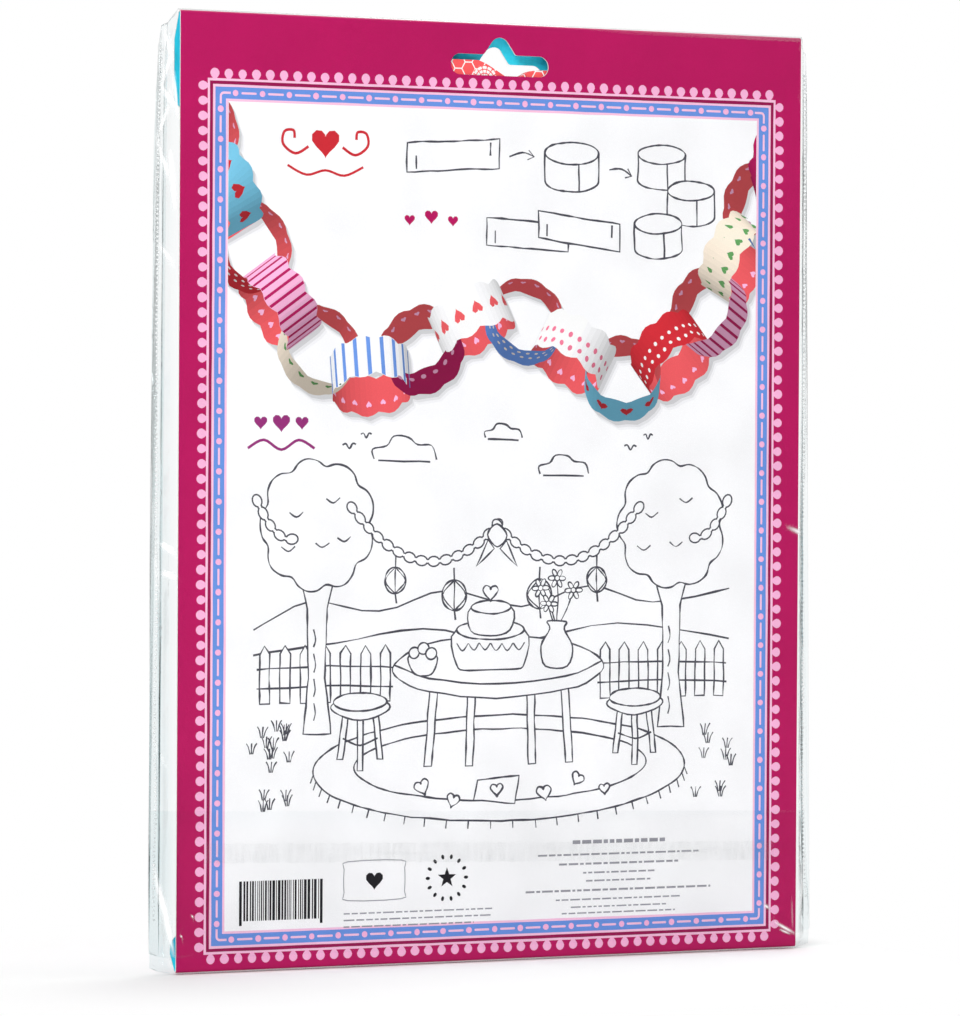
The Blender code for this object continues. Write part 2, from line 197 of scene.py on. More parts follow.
world = bpy.data.worlds.new("studio")
world.use_nodes = True
bpy.context.scene.world = world
tree = world.node_tree
tree.nodes.clear()
seen_straight, mirrored = background_ray(tree)
way = add(tree, "ShaderNodeVectorMath", {0: add(tree, "ShaderNodeTexCoord").outputs["Generated"],
          1: Vector((math.sin(-PANEL_TURN), math.cos(PANEL_TURN), 0.0))}, operation="DOT_PRODUCT")
ahead = add(tree, "ShaderNodeMapRange", {"Value": way.outputs["Value"], "From Min": -0.25, "From Max": 0.35,
            "To Min": MIRRORED_ROOM, "To Max": MIRRORED_SWEEP}, interpolation_type="SMOOTHSTEP")
room = add(tree, "ShaderNodeMapRange", {"Value": mirrored, "To Min": ROOM_LIGHT, "To Max": ahead.outputs[0]})
level = add(tree, "ShaderNodeMapRange", {"Value": seen_straight, "To Min": room.outputs[0], "To Max": BACKGROUND})
sky = add(tree, "ShaderNodeBackground", {"Color": (1, 1, 1, 1), "Strength": level.outputs[0]})
tree.links.new(sky.outputs[0], add(tree, "ShaderNodeOutputWorld").inputs["Surface"])

material, tree, output = new_material("white_sweep")
place = add(tree, "ShaderNodeTexCoord").outputs["Object"]
part = add(tree, "ShaderNodeSeparateXYZ", {0: place})
aside = add(tree, "ShaderNodeMath", {0: part.outputs["X"]}, operation="ABSOLUTE")
beyond = add(tree, "ShaderNodeMath", {0: aside.outputs[0], 1: card_high.x}, operation="SUBTRACT")
past = add(tree, "ShaderNodeMath", {0: beyond.outputs[0], 1: 0.0}, operation="MAXIMUM")
on_right = add(tree, "ShaderNodeMath", {0: part.outputs["X"], 1: 0.0}, operation="GREATER_THAN")
haste = add(tree, "ShaderNodeMath", {0: on_right.outputs[0], 1: 5.0, 2: 1.0}, operation="MULTIPLY_ADD")
sooner = add(tree, "ShaderNodeMath", {0: past.outputs[0], 1: haste.outputs[0]}, operation="MULTIPLY")
away = add(tree, "ShaderNodeCombineXYZ", {0: sooner.outputs[0], 1: part.outputs["Y"]})
far = add(tree, "ShaderNodeVectorMath", {0: away.outputs[0]}, operation="LENGTH")
fade = add(tree, "ShaderNodeMapRange", {"Value": far.outputs["Value"], "From Min": FLOOR_FADE_START,
           "From Max": FLOOR_FADE_END}, interpolation_type="SMOOTHSTEP")
seen_straight, mirrored = background_ray(tree)
seen_far = add(tree, "ShaderNodeMath", {0: fade.outputs[0], 1: seen_straight}, operation="MULTIPLY")
dim = add(tree, "ShaderNodeMapRange", {"Value": mirrored, "To Min": 0.93, "To Max": 0.1})
paint = add(tree, "ShaderNodeBsdfDiffuse", {"Color": dim.outputs[0]})
white = add(tree, "ShaderNodeEmission", {"Strength": BACKGROUND})
blend = add(tree, "ShaderNodeMixShader", {"Fac": seen_far.outputs[0], 1: paint.outputs[0], 2: white.outputs[0]})
tree.links.new(blend.outputs[0], output.inputs["Surface"])

floor_z = cad_box[0].z - 0.0002
corners = [(-1, -1), (1, -1), (1, 1), (-1, 1)]
floor_mesh = bpy.data.meshes.new("floor")
floor_mesh.from_pydata([(x * FLOOR_REACH, y * FLOOR_REACH, floor_z) for x, y in corners], [], [(0, 1, 2, 3)])
floor_mesh.materials.append(material)
floor = new_object("floor", floor_mesh)
floor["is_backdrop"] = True
print("floor at", round(floor_z / MM, 2), "mm")

# %% Lamps
LAMPS = {
    # name: (place, size, power)
    "key": ((-1.2, -1.15, 0.8), 0.7, 24.6),
    "top": ((0.5, 0.25, 1.3), 1.0, 12.0),
    "fill": ((1.6, -0.6, 0.5), 0.9, 2.4),
}
for name, (spot, size, power) in LAMPS.items():
    lamp_data = bpy.data.lights.new(name, "AREA")
    lamp_data.size = size
    lamp_data.energy = power
    lamp = bpy.data.objects.new(name, lamp_data)
    scene_objects.link(lamp)
    aim = panel_middle - Vector(spot)
    lamp.matrix_world = Matrix.Translation(spot) @ aim.to_track_quat("-Z", "Y").to_matrix().to_4x4()
print("lamps", ", ".join(LAMPS))

# %% [markdown]
# The cover is one sheet of board. It is creased to a header over the top and a lip under
# the bottom, and a hang slot goes through panel and header. As in a carton shop, the
# blank is drawn flat, with its holes, its creases and its print, and then each point is
# laid round the folds. The fold lines below give how deep the board lies behind the
# printed face, and how far down from the top.

# %% Sizes of the folded board
CARD_WIDTH = card_high.x - card_low.x
CARD_HEIGHT = card_high.z - card_low.z
CARD_DEPTH = card_high.y - card_low.y
TOP = card_high.z
FRONT = card_low.y
BOARD = 0.45 * MM
FOLD_RADIUS = 0.6 * MM
FOLD_STEPS = 10
HEADER_HEIGHT = 28 * MM
HEADER_BEND = 8 * MM
HEADER_CORNER = 4 * MM
LIP_HEIGHT = 11 * MM
LIP_BEND = 5 * MM
LIP_CORNER = 4.5 * MM
LEAF_DEPTH = CARD_DEPTH - BOARD / 2
FOLD_OUTSIDE = FOLD_RADIUS + BOARD / 2


def in_frame(x, depth, drop):
    """The frame's point at this depth behind the print and drop below the top fold."""
    return Vector((x, FRONT + depth, TOP - drop))


def arc(centre, radius, start, end, steps):
    """Points of an arc from start to end in degrees, both ends included."""
    turns = [math.radians(start + (end - start) * i / steps) for i in range(steps + 1)]
    return [(centre[0] + radius * math.cos(t), centre[1] + radius * math.sin(t)) for t in turns]


def fold_line(fold_drop, side, bend_drop, stand_off):
    """Line of a skin round a fold, stand_off outside the board's middle, as (depth, drop)."""
    centre = fold_drop + side * FOLD_OUTSIDE
    across, down = LEAF_DEPTH - FOLD_OUTSIDE, side * (bend_drop - centre)
    lean = math.atan2(across, down) - math.asin(FOLD_RADIUS / math.hypot(across, down))
    radius = FOLD_RADIUS + stand_off
    line = []
    for i in range(FOLD_STEPS + 1):
        turn = math.pi + (math.pi - lean) * i / FOLD_STEPS
        line.append((FOLD_OUTSIDE + radius * math.cos(turn), centre + side * radius * math.sin(turn)))
    line.append((LEAF_DEPTH + stand_off, bend_drop - side * stand_off * math.tan(lean / 2)))
    return line


def card_line(stand_off):
    """The card's whole section, from the lip's edge round the panel to the header's edge."""
    lip = fold_line(CARD_HEIGHT, -1, CARD_HEIGHT - LIP_BEND, stand_off)
    header = fold_line(0.0, 1, HEADER_BEND, stand_off)
    start = (LEAF_DEPTH + stand_off, CARD_HEIGHT - LIP_HEIGHT)
    return [start, *reversed(lip), *header, (LEAF_DEPTH + stand_off, HEADER_HEIGHT)]


def run_lengths(line):
    """Length along a line up to each of its points."""
    lengths = [0.0]
    for start, end in zip(line, line[1:]):
        lengths.append(lengths[-1] + math.dist(start, end))
    return lengths


def along(line, lengths, run):
    """Point of a line at this run of the flat blank, whose creases lie at these lengths."""
    i = 0
    while i < len(line) - 2 and run > lengths[i + 1]:
        i += 1
    share = (run - lengths[i]) / (lengths[i + 1] - lengths[i])
    return [a + (b - a) * share for a, b in zip(line[i], line[i + 1])]


card_runs = run_lengths(card_line(0.0))
panel_foot = FOLD_STEPS + 2
PANEL_RUN = card_runs[panel_foot] + card_line(0.0)[panel_foot][1]
print("flat blank", round(CARD_WIDTH / MM), "x", round(card_runs[-1] / MM, 1), "mm")

# %% [markdown]
# The hang slot is the standard one: a bar with round ends and a raised middle. The
# header's slot is the panel's, upside down in the flat blank, and it sits a little lower
# once the board is folded, so its cut edge shows behind the panel's.

# %% Outlines of the blank
SLOT_WIDTH = 32 * MM
SLOT_BAR = 6.1 * MM
SLOT_HEIGHT = 11.1 * MM
SLOT_BUMP = 3.2 * MM
SLOT_FOOT = 5.2 * MM
SLOT_FILLET = 1.2 * MM
SLOT_FROM_FOLD = 4 * MM
HEADER_SLOT_DROP = 2.4 * MM
SLOT_BAR_DROP = SLOT_FROM_FOLD + SLOT_HEIGHT - SLOT_BAR / 2


def hang_slot(middle_run, up, margin=0.0):
    """Outline of the hang slot; up is 1 or -1, the way its raised middle points."""
    end_radius = SLOT_BAR / 2 - margin
    end_centre = SLOT_WIDTH / 2 - SLOT_BAR / 2
    bump, foot = SLOT_BUMP - margin, SLOT_FOOT - margin
    bump_centre = SLOT_HEIGHT - SLOT_BAR / 2 - SLOT_BUMP
    down = end_radius - bump_centre
    lean = math.degrees(math.atan2(down, foot) + math.acos(bump / math.hypot(foot, down)))
    slope = math.radians(lean)
    fillet_x = foot + SLOT_FILLET * (1 - math.sin(slope)) / math.cos(slope)
    fillet_y = end_radius + SLOT_FILLET
    outline = arc((end_centre, 0), end_radius, -90, 90, 20)
    outline += arc((fillet_x, fillet_y), SLOT_FILLET, 270, 180 + lean, 6)
    outline += arc((0, bump_centre), bump, lean, 180 - lean, 20)
    outline += arc((-fillet_x, fillet_y), SLOT_FILLET, -lean, -90, 6)
    outline += arc((-end_centre, 0), end_radius, 90, 270, 20)
    return [(x, middle_run + up * y) for x, y in outline]


def rounded_blank(width, length, start_corner, end_corner, steps=8):
    """Outline of a sheet from 0 to its length, with round corners at each end."""
    half = width / 2
    outline = arc((-half + start_corner, start_corner), start_corner, 180, 270, steps)
    outline += arc((half - start_corner, start_corner), start_corner, 270, 360, steps)
    outline += arc((half - end_corner, length - end_corner), end_corner, 0, 90, steps)
    return outline + arc((-half + end_corner, length - end_corner), end_corner, 90, 180, steps)


panel_slot = hang_slot(PANEL_RUN - SLOT_BAR_DROP, 1)
header_bend = panel_foot + FOLD_STEPS + 2
header_slot = hang_slot(card_runs[header_bend] + SLOT_BAR_DROP + HEADER_SLOT_DROP - HEADER_BEND, -1)
card_outline = rounded_blank(CARD_WIDTH, card_runs[-1], LIP_CORNER, HEADER_CORNER)
print("outline of", len(card_outline), "points, slots of", len(panel_slot))

# %% [markdown]
# Ink could be painted by a shader, or lie on the board as thin pieces. Here each ink
# shape is cut into the board's surface instead, and its faces carry its colour in an
# attribute called ink. The shapes are inked in order, later ones over earlier ones, and
# one triangulation finds every piece that their outlines cut from each other.

# %% Flat triangles with colour
print_fields = []


def rgb(red, green, blue):
    """A colour given as on a screen, 0 to 255, as the linear colour that Blender takes."""
    return tuple((c / 255 / 12.92 if c < 11 else ((c / 255 + 0.055) / 1.055) ** 2.4) for c in (red, green, blue))


def crosses_itself(points):
    """Whether any two sides of a closed shape that aren't neighbours meet."""
    count = len(points)
    flat = [Vector(p) for p in points]
    for i in range(count - 2):
        for j in range(i + 2, count - (i == 0)):
            if intersect_line_line_2d(flat[i], flat[i + 1], flat[j], flat[(j + 1) % count]):
                return True
    return False


def ink(points, colour):
    """Print one closed shape on the panel, in mm right of its middle and up from its top."""
    loop = [p for p, q in zip(points, points[1:] + points[:1]) if math.dist(p, q) > 0.003]
    if len(loop) < 3:
        return
    twice_area = sum(a[0] * b[1] - b[0] * a[1] for a, b in zip(loop, loop[1:] + loop[:1]))
    around = sum(math.dist(a, b) for a, b in zip(loop, loop[1:] + loop[:1]))
    if len(loop) > 3 and crosses_itself(loop):
        for corner in tessellate_polygon([[Vector((*p, 0.0)) for p in loop]]):
            ink([loop[i] for i in corner], colour)
    elif abs(twice_area) > 0.01 * around:
        print_fields.append((loop if twice_area > 0 else loop[::-1], colour))


def inside(point, outline):
    """Whether a point lies inside a closed outline."""
    within = False
    for (ax, ay), (bx, by) in zip(outline, outline[1:] + outline[:1]):
        if (ay > point[1]) != (by > point[1]) and point[0] < (bx - ax) * (point[1] - ay) / (by - ay) + ax:
            within = not within
    return within


def box_of(loop, scale):
    """Lowest x and y and highest x and y of a shape."""
    return [pick(p[k] for p in loop) * scale for pick in (min, max) for k in range(2)]


def in_box(point, box):
    """Whether a point lies in a shape's box."""
    return box[0] <= point[0] <= box[2] and box[1] <= point[1] <= box[3]


def cut_blank(outline, holes, creases, fields=(), extra=()):
    """Points and triangles of a blank, with the number of the last field on each triangle."""
    points, edges, faces = [], [], []
    for loop in (outline, *holes):
        start = len(points)
        points += loop
        edges += [(start + i, start + (i + 1) % len(loop)) for i in range(len(loop))]
    for start, end in creases:
        edges.append((len(points), len(points) + 1))
        points += [start, end]
    points += extra
    flat = [Vector((x / MM, y / MM)) for x, y in points]
    for loop in fields:
        faces.append(range(len(flat), len(flat) + len(loop)))
        flat += [Vector(p) for p in loop]
    found, _, triangles, _, _, owners = delaunay_2d_cdt(flat, edges, [list(f) for f in faces], 0, 1e-4)
    found = [(p.x * MM, p.y * MM) for p in found]
    reach = [box_of(loop, MM) for loop in fields]
    hole_reach = [box_of(hole, 1.0) for hole in holes]
    kept, top_field = [], []
    for triangle, owner in zip(triangles, owners):
        middle = [sum(found[i][k] for i in triangle) / 3 for k in range(2)]
        in_hole = any(in_box(middle, box) and inside(middle, hole) for box, hole in zip(hole_reach, holes))
        if inside(middle, outline) and not in_hole:
            kept.append(triangle)
            top_field.append(max((f for f in owner if in_box(middle, reach[f])), default=-1))
    return found, kept, top_field


def rim_edges(triangles):
    """Edges that only one triangle has, each in that triangle's own direction."""
    count = {}
    for a, b, c in triangles:
        for edge in ((a, b), (b, c), (c, a)):
            key = (min(edge), max(edge))
            count[key] = None if key in count else edge
    return [edge for edge in count.values() if edge]


def smooth_sheet(mesh, angle=40):
    """Smooth shading, with sharp edges where faces meet at more than the angle."""
    mesh.shade_smooth()
    mesh.set_sharp_from_angle(angle=math.radians(angle))


# %% [markdown]
# The finished blank is a closed thin board. Its printed skin has all the ink shapes, but
# its inner skin needs only the outline and the creases. Both are cut from the same
# outline, so their rims match point for point and a narrow band of cut edge joins them.

# %% Fold a two-skinned board
def build_board(name, outline, holes, line_of, fields, materials):
    """A folded board from its flat blank; line_of gives a skin's section for a stand-off."""
    middle = run_lengths(line_of(0.0))
    creases = [((-1.0, run), (1.0, run)) for run in middle[1:-1]]
    shift = [[(x, y + PANEL_RUN / MM) for x, y in points] for points, _ in fields]
    skins = []
    shape = bmesh.new()
    layer = shape.loops.layers.float_color.new("ink")
    for stand_off, printed in ((BOARD / 2, True), (-BOARD / 2, False)):
        found, kept, top_field = cut_blank(outline, holes, creases, shift if printed else ())
        section = line_of(stand_off)
        used = sorted({i for triangle in kept for i in triangle})
        verts = {i: shape.verts.new(in_frame(found[i][0], *along(section, middle, found[i][1]))) for i in used}
        for triangle, field in zip(kept, top_field):
            face = shape.faces.new([verts[i] for i in triangle])
            face.material_index = 0 if printed else 1
            colour = fields[field][1] if field >= 0 else INK["magenta"]
            for loop in face.loops:
                loop[layer] = (*colour, 1.0)
        skins.append((found, verts, rim_edges(kept)))
    (outer, outer_verts, outer_rim), (inner, inner_verts, inner_rim) = skins
    inner_points = sorted({i for edge in inner_rim for i in edge})
    places = np.array([inner[i] for i in inner_points])
    match = {}
    for i in {i for edge in outer_rim for i in edge}:
        match[i] = inner_points[int(np.argmin(((places - outer[i]) ** 2).sum(1)))]
    for a, b in outer_rim:
        corner = [outer_verts[a], outer_verts[b], inner_verts[match[b]], inner_verts[match[a]]]
        shape.faces.new(corner).material_index = 2
    shape.verts.index_update()
    bmesh.ops.recalc_face_normals(shape, faces=shape.faces)
    mesh = bpy.data.meshes.new(name)
    open_edges = sum(not edge.is_manifold for edge in shape.edges)
    shape.to_mesh(mesh)
    shape.free()
    for finish in materials:
        mesh.materials.append(finish)
    smooth_sheet(mesh, 25)
    print(name, len(mesh.polygons), "faces,", open_edges, "open edges")
    return new_object(name, mesh)

# %% [markdown]
# The frame of the print is a traditional one: a row of picots like those of lace, two
# fine lines, and a blue band with a stitch of dots and dashes. The stitches repeat, so
# Geometry Nodes stamp them along a line. The tree lays flat shapes on a path, a little
# unevenly like the hand-cut originals, and its faces are then printed as ink shapes.

# %% Inks
INK = {
    "magenta": rgb(185, 12, 93),
    "deep_magenta": rgb(152, 12, 78),
    "picot_pink": rgb(247, 182, 219),
    "line_pink": rgb(248, 196, 224),
    "blue": rgb(104, 148, 224),
    "white": rgb(250, 250, 252),
    "pencil": rgb(74, 74, 84),
    "coral": rgb(238, 92, 98),
    "red": rgb(205, 40, 52),
    "rose": rgb(236, 120, 150),
    "sky": rgb(120, 196, 226),
    "cream": rgb(246, 232, 214),
    "lilac": rgb(150, 46, 120),
    "leaf": rgb(96, 160, 92),
    "grey": rgb(150, 150, 158),
    "black": rgb(34, 32, 38),
}
PRINT_LEFT, PRINT_RIGHT = -93.0, 92.8
PRINT_TOP, PRINT_FOOT = -19.0, -268.1
LINE, GAP, BAND = 0.7, 0.95, 3.35
random.seed(7)


def hand_sway(x, y, layer):
    """How far an unsteady hand moves a point to the right and up, from -1 to 1."""
    return Vector([noise.noise(Vector((x, y, layer + apart))) for apart in (0.0, 31.7)])


def wobbly_frame(inset, wobble=0.1, step=7.0):
    """The print's frame, this far inside its outer line, with slightly uneven sides."""
    left, right = PRINT_LEFT + inset, PRINT_RIGHT - inset
    low, high = PRINT_FOOT + inset, PRINT_TOP - inset
    corners = [(left, low), (right, low), (right, high), (left, high)]
    points = []
    for a, b in zip(corners, corners[1:] + corners[:1]):
        count = int(math.dist(a, b) / step)
        for i in range(count):
            x, y = (p + (q - p) * i / count for p, q in zip(a, b))
            sway = hand_sway(x * 0.12, y * 0.12, inset) * wobble
            points.append((x + sway.x, y + sway.y))
    return points


inset = 0.0
for width, colour in ((LINE, "line_pink"), (GAP, "deep_magenta"), (LINE, "line_pink"), (BAND, "blue"),
                      (LINE, "line_pink"), (0.0, "white")):
    ink(wobbly_frame(inset), INK[colour])
    inset += width
print("white panel starts", round(inset, 2), "mm inside the outer line")

# %% A tree with named inputs
def new_geometry_tree(name, inputs):
    """A Geometry Nodes tree with these named inputs, with its input and output nodes."""
    group = bpy.data.node_groups.new(name, "GeometryNodeTree")
    group.interface.new_socket("Geometry", in_out="INPUT", socket_type="NodeSocketGeometry")
    for label, (kind, value) in inputs.items():
        socket = group.interface.new_socket(label, in_out="INPUT", socket_type="NodeSocket" + kind)
        if value is not None:
            socket.default_value = value
    group.interface.new_socket("Geometry", in_out="OUTPUT", socket_type="NodeSocketGeometry")
    return group, group.nodes.new("NodeGroupInput").outputs, group.nodes.new("NodeGroupOutput")


def grown(group, points, values, name="grown"):
    """The plain mesh that a tree grows along a path of points, with its inputs set."""
    path = bpy.data.meshes.new("path")
    path.from_pydata(points, [(i, i + 1) for i in range(len(points) - 1)], [])
    holder = new_object("path", path)
    modifier = holder.modifiers.new("nodes", "NODES")
    modifier.node_group = group
    for item in group.interface.items_tree:
        if item.in_out == "INPUT" and item.name in values:
            modifier[item.identifier] = values[item.name]
    holder.update_tag()
    graph = bpy.context.evaluated_depsgraph_get()
    made = bpy.data.meshes.new_from_object(holder.evaluated_get(graph))
    made.name = name
    bpy.data.objects.remove(holder)
    return made


print_finish = bpy.data.materials.new("printed_board")
print("inks:", len(INK))

# %% Stamps along a line
stamp_tree, given, result = new_geometry_tree("stamps_along_a_line", {
    "Count": ("Int", 10),
    "Width": ("Float", 1.0),
    "Height": ("Float", 1.0),
    "Stretch": ("Float", 0.0),
    "Outward": ("Float", 0.0),
    "Foot": ("Float", 0.0),
    "Unevenness": ("Float", 0.06),
    "Seed": ("Int", 0),
    "Material": ("Material", None),
})
line = add(stamp_tree, "GeometryNodeMeshToCurve", {"Mesh": given["Geometry"]})
spots = add(stamp_tree, "GeometryNodeCurveToPoints", {"Curve": line.outputs[0], "Count": given["Count"]},
            mode="COUNT")
facing = add(stamp_tree, "FunctionNodeAlignRotationToVector", {"Vector": spots.outputs["Tangent"]}, axis="X",
             pivot_axis="Z")
disc = add(stamp_tree, "GeometryNodeMeshCircle", {"Vertices": 14, "Radius": 0.5}, fill_type="NGON")
spot = add(stamp_tree, "GeometryNodeInputPosition")
part = add(stamp_tree, "ShaderNodeSeparateXYZ", {0: spot.outputs[0]})
side = add(stamp_tree, "ShaderNodeMath", {0: part.outputs["X"]}, operation="SIGN")
slid = add(stamp_tree, "ShaderNodeMath", {0: side.outputs[0], 1: given["Stretch"]}, operation="MULTIPLY")
foot = add(stamp_tree, "ShaderNodeMapRange", {"Value": part.outputs["Y"], "From Min": -0.5, "From Max": 0.1,
           "To Min": given["Foot"], "To Max": 1.0}, interpolation_type="SMOOTHSTEP")
wide = add(stamp_tree, "ShaderNodeMath", {0: part.outputs["X"], 1: given["Width"]}, operation="MULTIPLY")
waist = add(stamp_tree, "ShaderNodeMath", {0: wide.outputs[0], 1: foot.outputs[0], 2: slid.outputs[0]},
            operation="MULTIPLY_ADD")
tall = add(stamp_tree, "ShaderNodeMath", {0: part.outputs["Y"], 1: given["Height"], 2: given["Outward"]},
           operation="MULTIPLY_ADD")
drawn = add(stamp_tree, "ShaderNodeCombineXYZ", {0: waist.outputs[0], 1: tall.outputs[0]})
shaped = add(stamp_tree, "GeometryNodeSetPosition", {"Geometry": disc.outputs[0], "Position": drawn.outputs[0]})
more = add(stamp_tree, "ShaderNodeMath", {0: 1.0, 1: given["Unevenness"]}, operation="ADD")
less = add(stamp_tree, "ShaderNodeMath", {0: 1.0, 1: given["Unevenness"]}, operation="SUBTRACT")
size = add(stamp_tree, "FunctionNodeRandomValue", {0: less.outputs[0], 1: more.outputs[0], 8: given["Seed"]},
           data_type="FLOAT_VECTOR")
stamped = add(stamp_tree, "GeometryNodeInstanceOnPoints", {"Points": spots.outputs[0],
              "Instance": shaped.outputs[0], "Rotation": facing.outputs[0], "Scale": size.outputs[0]})
real = add(stamp_tree, "GeometryNodeRealizeInstances", {0: stamped.outputs[0]})
inked = add(stamp_tree, "GeometryNodeSetMaterial", {0: real.outputs[0], "Material": given["Material"]})
stamp_tree.links.new(inked.outputs[0], result.inputs[0])


def stamp(start, end, count, colour, **sizes):
    """Ink a row of stamps from start to end, outward to the left of the way between them."""
    values = {"Count": count, "Material": print_finish, "Seed": len(print_fields), **sizes}
    row = grown(stamp_tree, [(*start, 0), (*end, 0)], values)
    for face in row.polygons:
        ink([tuple(row.vertices[i].co[:2]) for i in face.vertices], INK[colour])
    bpy.data.meshes.remove(row)
    return count


# %% Picots, dots and dashes
PICOT_PITCH = 4.33
PICOT_WIDTH = 2.8
PICOT_HEIGHT = 3.1
STITCH_PITCH = 8.6
DOT = 1.85
DASH_WIDTH = 0.66
DASH_LENGTH = 4.9
FIRST_DOT = 4.6


def sides(inset):
    """The frame's four sides, each with outward to its left, as (start, end)."""
    left, right = PRINT_LEFT + inset, PRINT_RIGHT - inset
    low, high = PRINT_FOOT + inset, PRINT_TOP - inset
    corners = [(left, high), (right, high), (right, low), (left, low)]
    return list(zip(corners, corners[1:] + corners[:1]))


def between(start, end, first, last):
    """Two points of a side, this far from its start and from its end."""
    length = math.dist(start, end)
    point = lambda run: tuple(a + (b - a) * run / length for a, b in zip(start, end))
    return point(first), point(length - last)


made = 0
for start, end in sides(0.0):
    count = round(math.dist(start, end) / PICOT_PITCH)
    half = math.dist(start, end) / count / 2
    made += stamp(*between(start, end, half, half), count, "picot_pink", Width=PICOT_WIDTH, Height=PICOT_HEIGHT,
                  Outward=PICOT_HEIGHT / 2 - 0.25, Foot=0.72)
stitch_line = LINE + GAP + LINE + BAND / 2
for start, end in sides(stitch_line):
    run = math.dist(start, end) - 2 * FIRST_DOT
    count = round(run / STITCH_PITCH)
    half = run / count / 2
    made += stamp(*between(start, end, FIRST_DOT, FIRST_DOT), count + 1, "picot_pink", Width=DOT, Height=DOT,
                  Foot=1.0)
    made += stamp(*between(start, end, FIRST_DOT + half, FIRST_DOT + half), count, "line_pink",
                  Width=DASH_WIDTH, Height=DASH_WIDTH, Stretch=(DASH_LENGTH - DASH_WIDTH) / 2, Foot=1.0,
                  Unevenness=0.03)
print(made, "stamps round the frame")

# %% [markdown]
# The board is coated and offset printed outside, with a satin ink film over slightly
# uneven fibres, and it has a flood of teal inside. Where it is cut, the bare white core
# shows. The print's colour comes from the ink attribute, and the rest from noise at the
# scale of fibres, ink mottle and handling.

# %% Surface helpers
def shader(tree, output, **values):
    """The Principled shader of a finish, wired to its output, with its numbers set."""
    node = add(tree, "ShaderNodeBsdfPrincipled", {k.replace("_", " "): v for k, v in values.items()})
    tree.links.new(node.outputs[0], output.inputs["Surface"])
    return node


def object_place(tree, scale=(1, 1, 1)):
    """Object coordinates in mm, stretched by a scale."""
    coordinates = add(tree, "ShaderNodeTexCoord")
    return add(tree, "ShaderNodeMapping", {"Vector": coordinates.outputs["Object"],
               "Scale": tuple(1000 * s for s in scale)}).outputs[0]


def grain(tree, place, scale, detail=4.0, low=0.0, high=1.0, roughness=0.5):
    """Noise of a size in cycles per mm, mapped to a range."""
    cloud = add(tree, "ShaderNodeTexNoise", {"Vector": place, "Scale": scale, "Detail": detail,
                "Roughness": roughness})
    return add(tree, "ShaderNodeMapRange", {"Value": cloud.outputs["Fac"], "From Min": 0.25, "From Max": 0.75,
               "To Min": low, "To Max": high}).outputs[0]


def bump(tree, node, height, depth, strength=1.0):
    """Lift the surface by a height from 0 to 1, depth in metres."""
    lift = add(tree, "ShaderNodeBump", {"Height": height, "Distance": depth, "Strength": strength})
    tree.links.new(lift.outputs[0], node.inputs["Normal"])


def tinted(tree, colour, *values):
    """A colour multiplied by grey values."""
    for value in values:
        grey = add(tree, "ShaderNodeCombineColor", {0: value, 1: value, 2: value})
        mixed = add(tree, "ShaderNodeMix", {"Factor": 1.0, 6: colour, 7: grey.outputs[0]}, data_type="RGBA",
                    blend_type="MULTIPLY")
        colour = mixed.outputs[2]
    return colour


# %% Printed, lined and cut board
print_finish.use_nodes = True
tree = print_finish.node_tree
tree.nodes.clear()
output = add(tree, "ShaderNodeOutputMaterial")
place = object_place(tree)
inks = add(tree, "ShaderNodeAttribute", attribute_name="ink").outputs["Color"]
mottle = grain(tree, place, 0.045, 1.0, 0.95, 1.03)
speckle = grain(tree, place, 2.6, 1.0, 0.975, 1.02)
node = shader(tree, output, Base_Color=tinted(tree, inks, mottle, speckle), Specular_IOR_Level=0.22,
              Roughness=grain(tree, place, 0.4, 1.0, 0.42, 0.56))
bump(tree, node, grain(tree, place, 1.6, 1.0), 0.02 * MM)

liner, tree, output = new_material("teal_liner")
place = object_place(tree)
fibre = grain(tree, object_place(tree, (1.0, 1.0, 0.25)), 1.2, 4.0, 0.93, 1.04)
colour = tinted(tree, (*rgb(52, 222, 246), 1.0), fibre, grain(tree, place, 0.07, 2.0, 0.95, 1.03))
node = shader(tree, output, Base_Color=colour, Roughness=grain(tree, place, 0.5, 3.0, 0.5, 0.66),
              Specular_IOR_Level=0.3)
bump(tree, node, fibre, 0.03 * MM)

cut_edge, tree, output = new_material("cut_board_edge")
layers = grain(tree, object_place(tree, (0.3, 1.0, 0.3)), 5.0, 3.0, 0.86, 1.0)
node = shader(tree, output, Base_Color=tinted(tree, (*rgb(244, 242, 238), 1.0), layers), Roughness=0.85)
bump(tree, node, grain(tree, object_place(tree), 6.0, 4.0), 0.03 * MM)
print("board finishes:", print_finish.name, liner.name, cut_edge.name)

# %% [markdown]
# The panel's picture is a generic one in the spirit of the product: a swag of printed
# paper rings, a line drawing of a garden made ready for a party, and a few small marks.
# The rings are made as real strips rolled round in space by a Geometry Nodes tree, since
# only so do they link, hide each other and shade in the right way. They are then inked
# flat, the farthest strip first, each with its little printed pattern.

# %% Lines and simple shapes
def spline(points, steps=5, closed=False):
    """A smooth line through the points."""
    count = len(points)
    line = []
    for i in range(count if closed else count - 1):
        if closed:
            a, b, c, d = (points[(i + k) % count] for k in (-1, 0, 1, 2))
        else:
            a, b, c, d = (points[min(max(i + k, 0), count - 1)] for k in (-1, 0, 1, 2))
        for step in range(steps):
            t = step / steps
            line.append(tuple(0.5 * (2 * q + (r - p) * t + (2 * p - 5 * q + 4 * r - s) * t * t
                                     + (3 * q - p - 3 * r + s) * t ** 3) for p, q, r, s in zip(a, b, c, d)))
    return line if closed else line + [tuple(points[-1])]


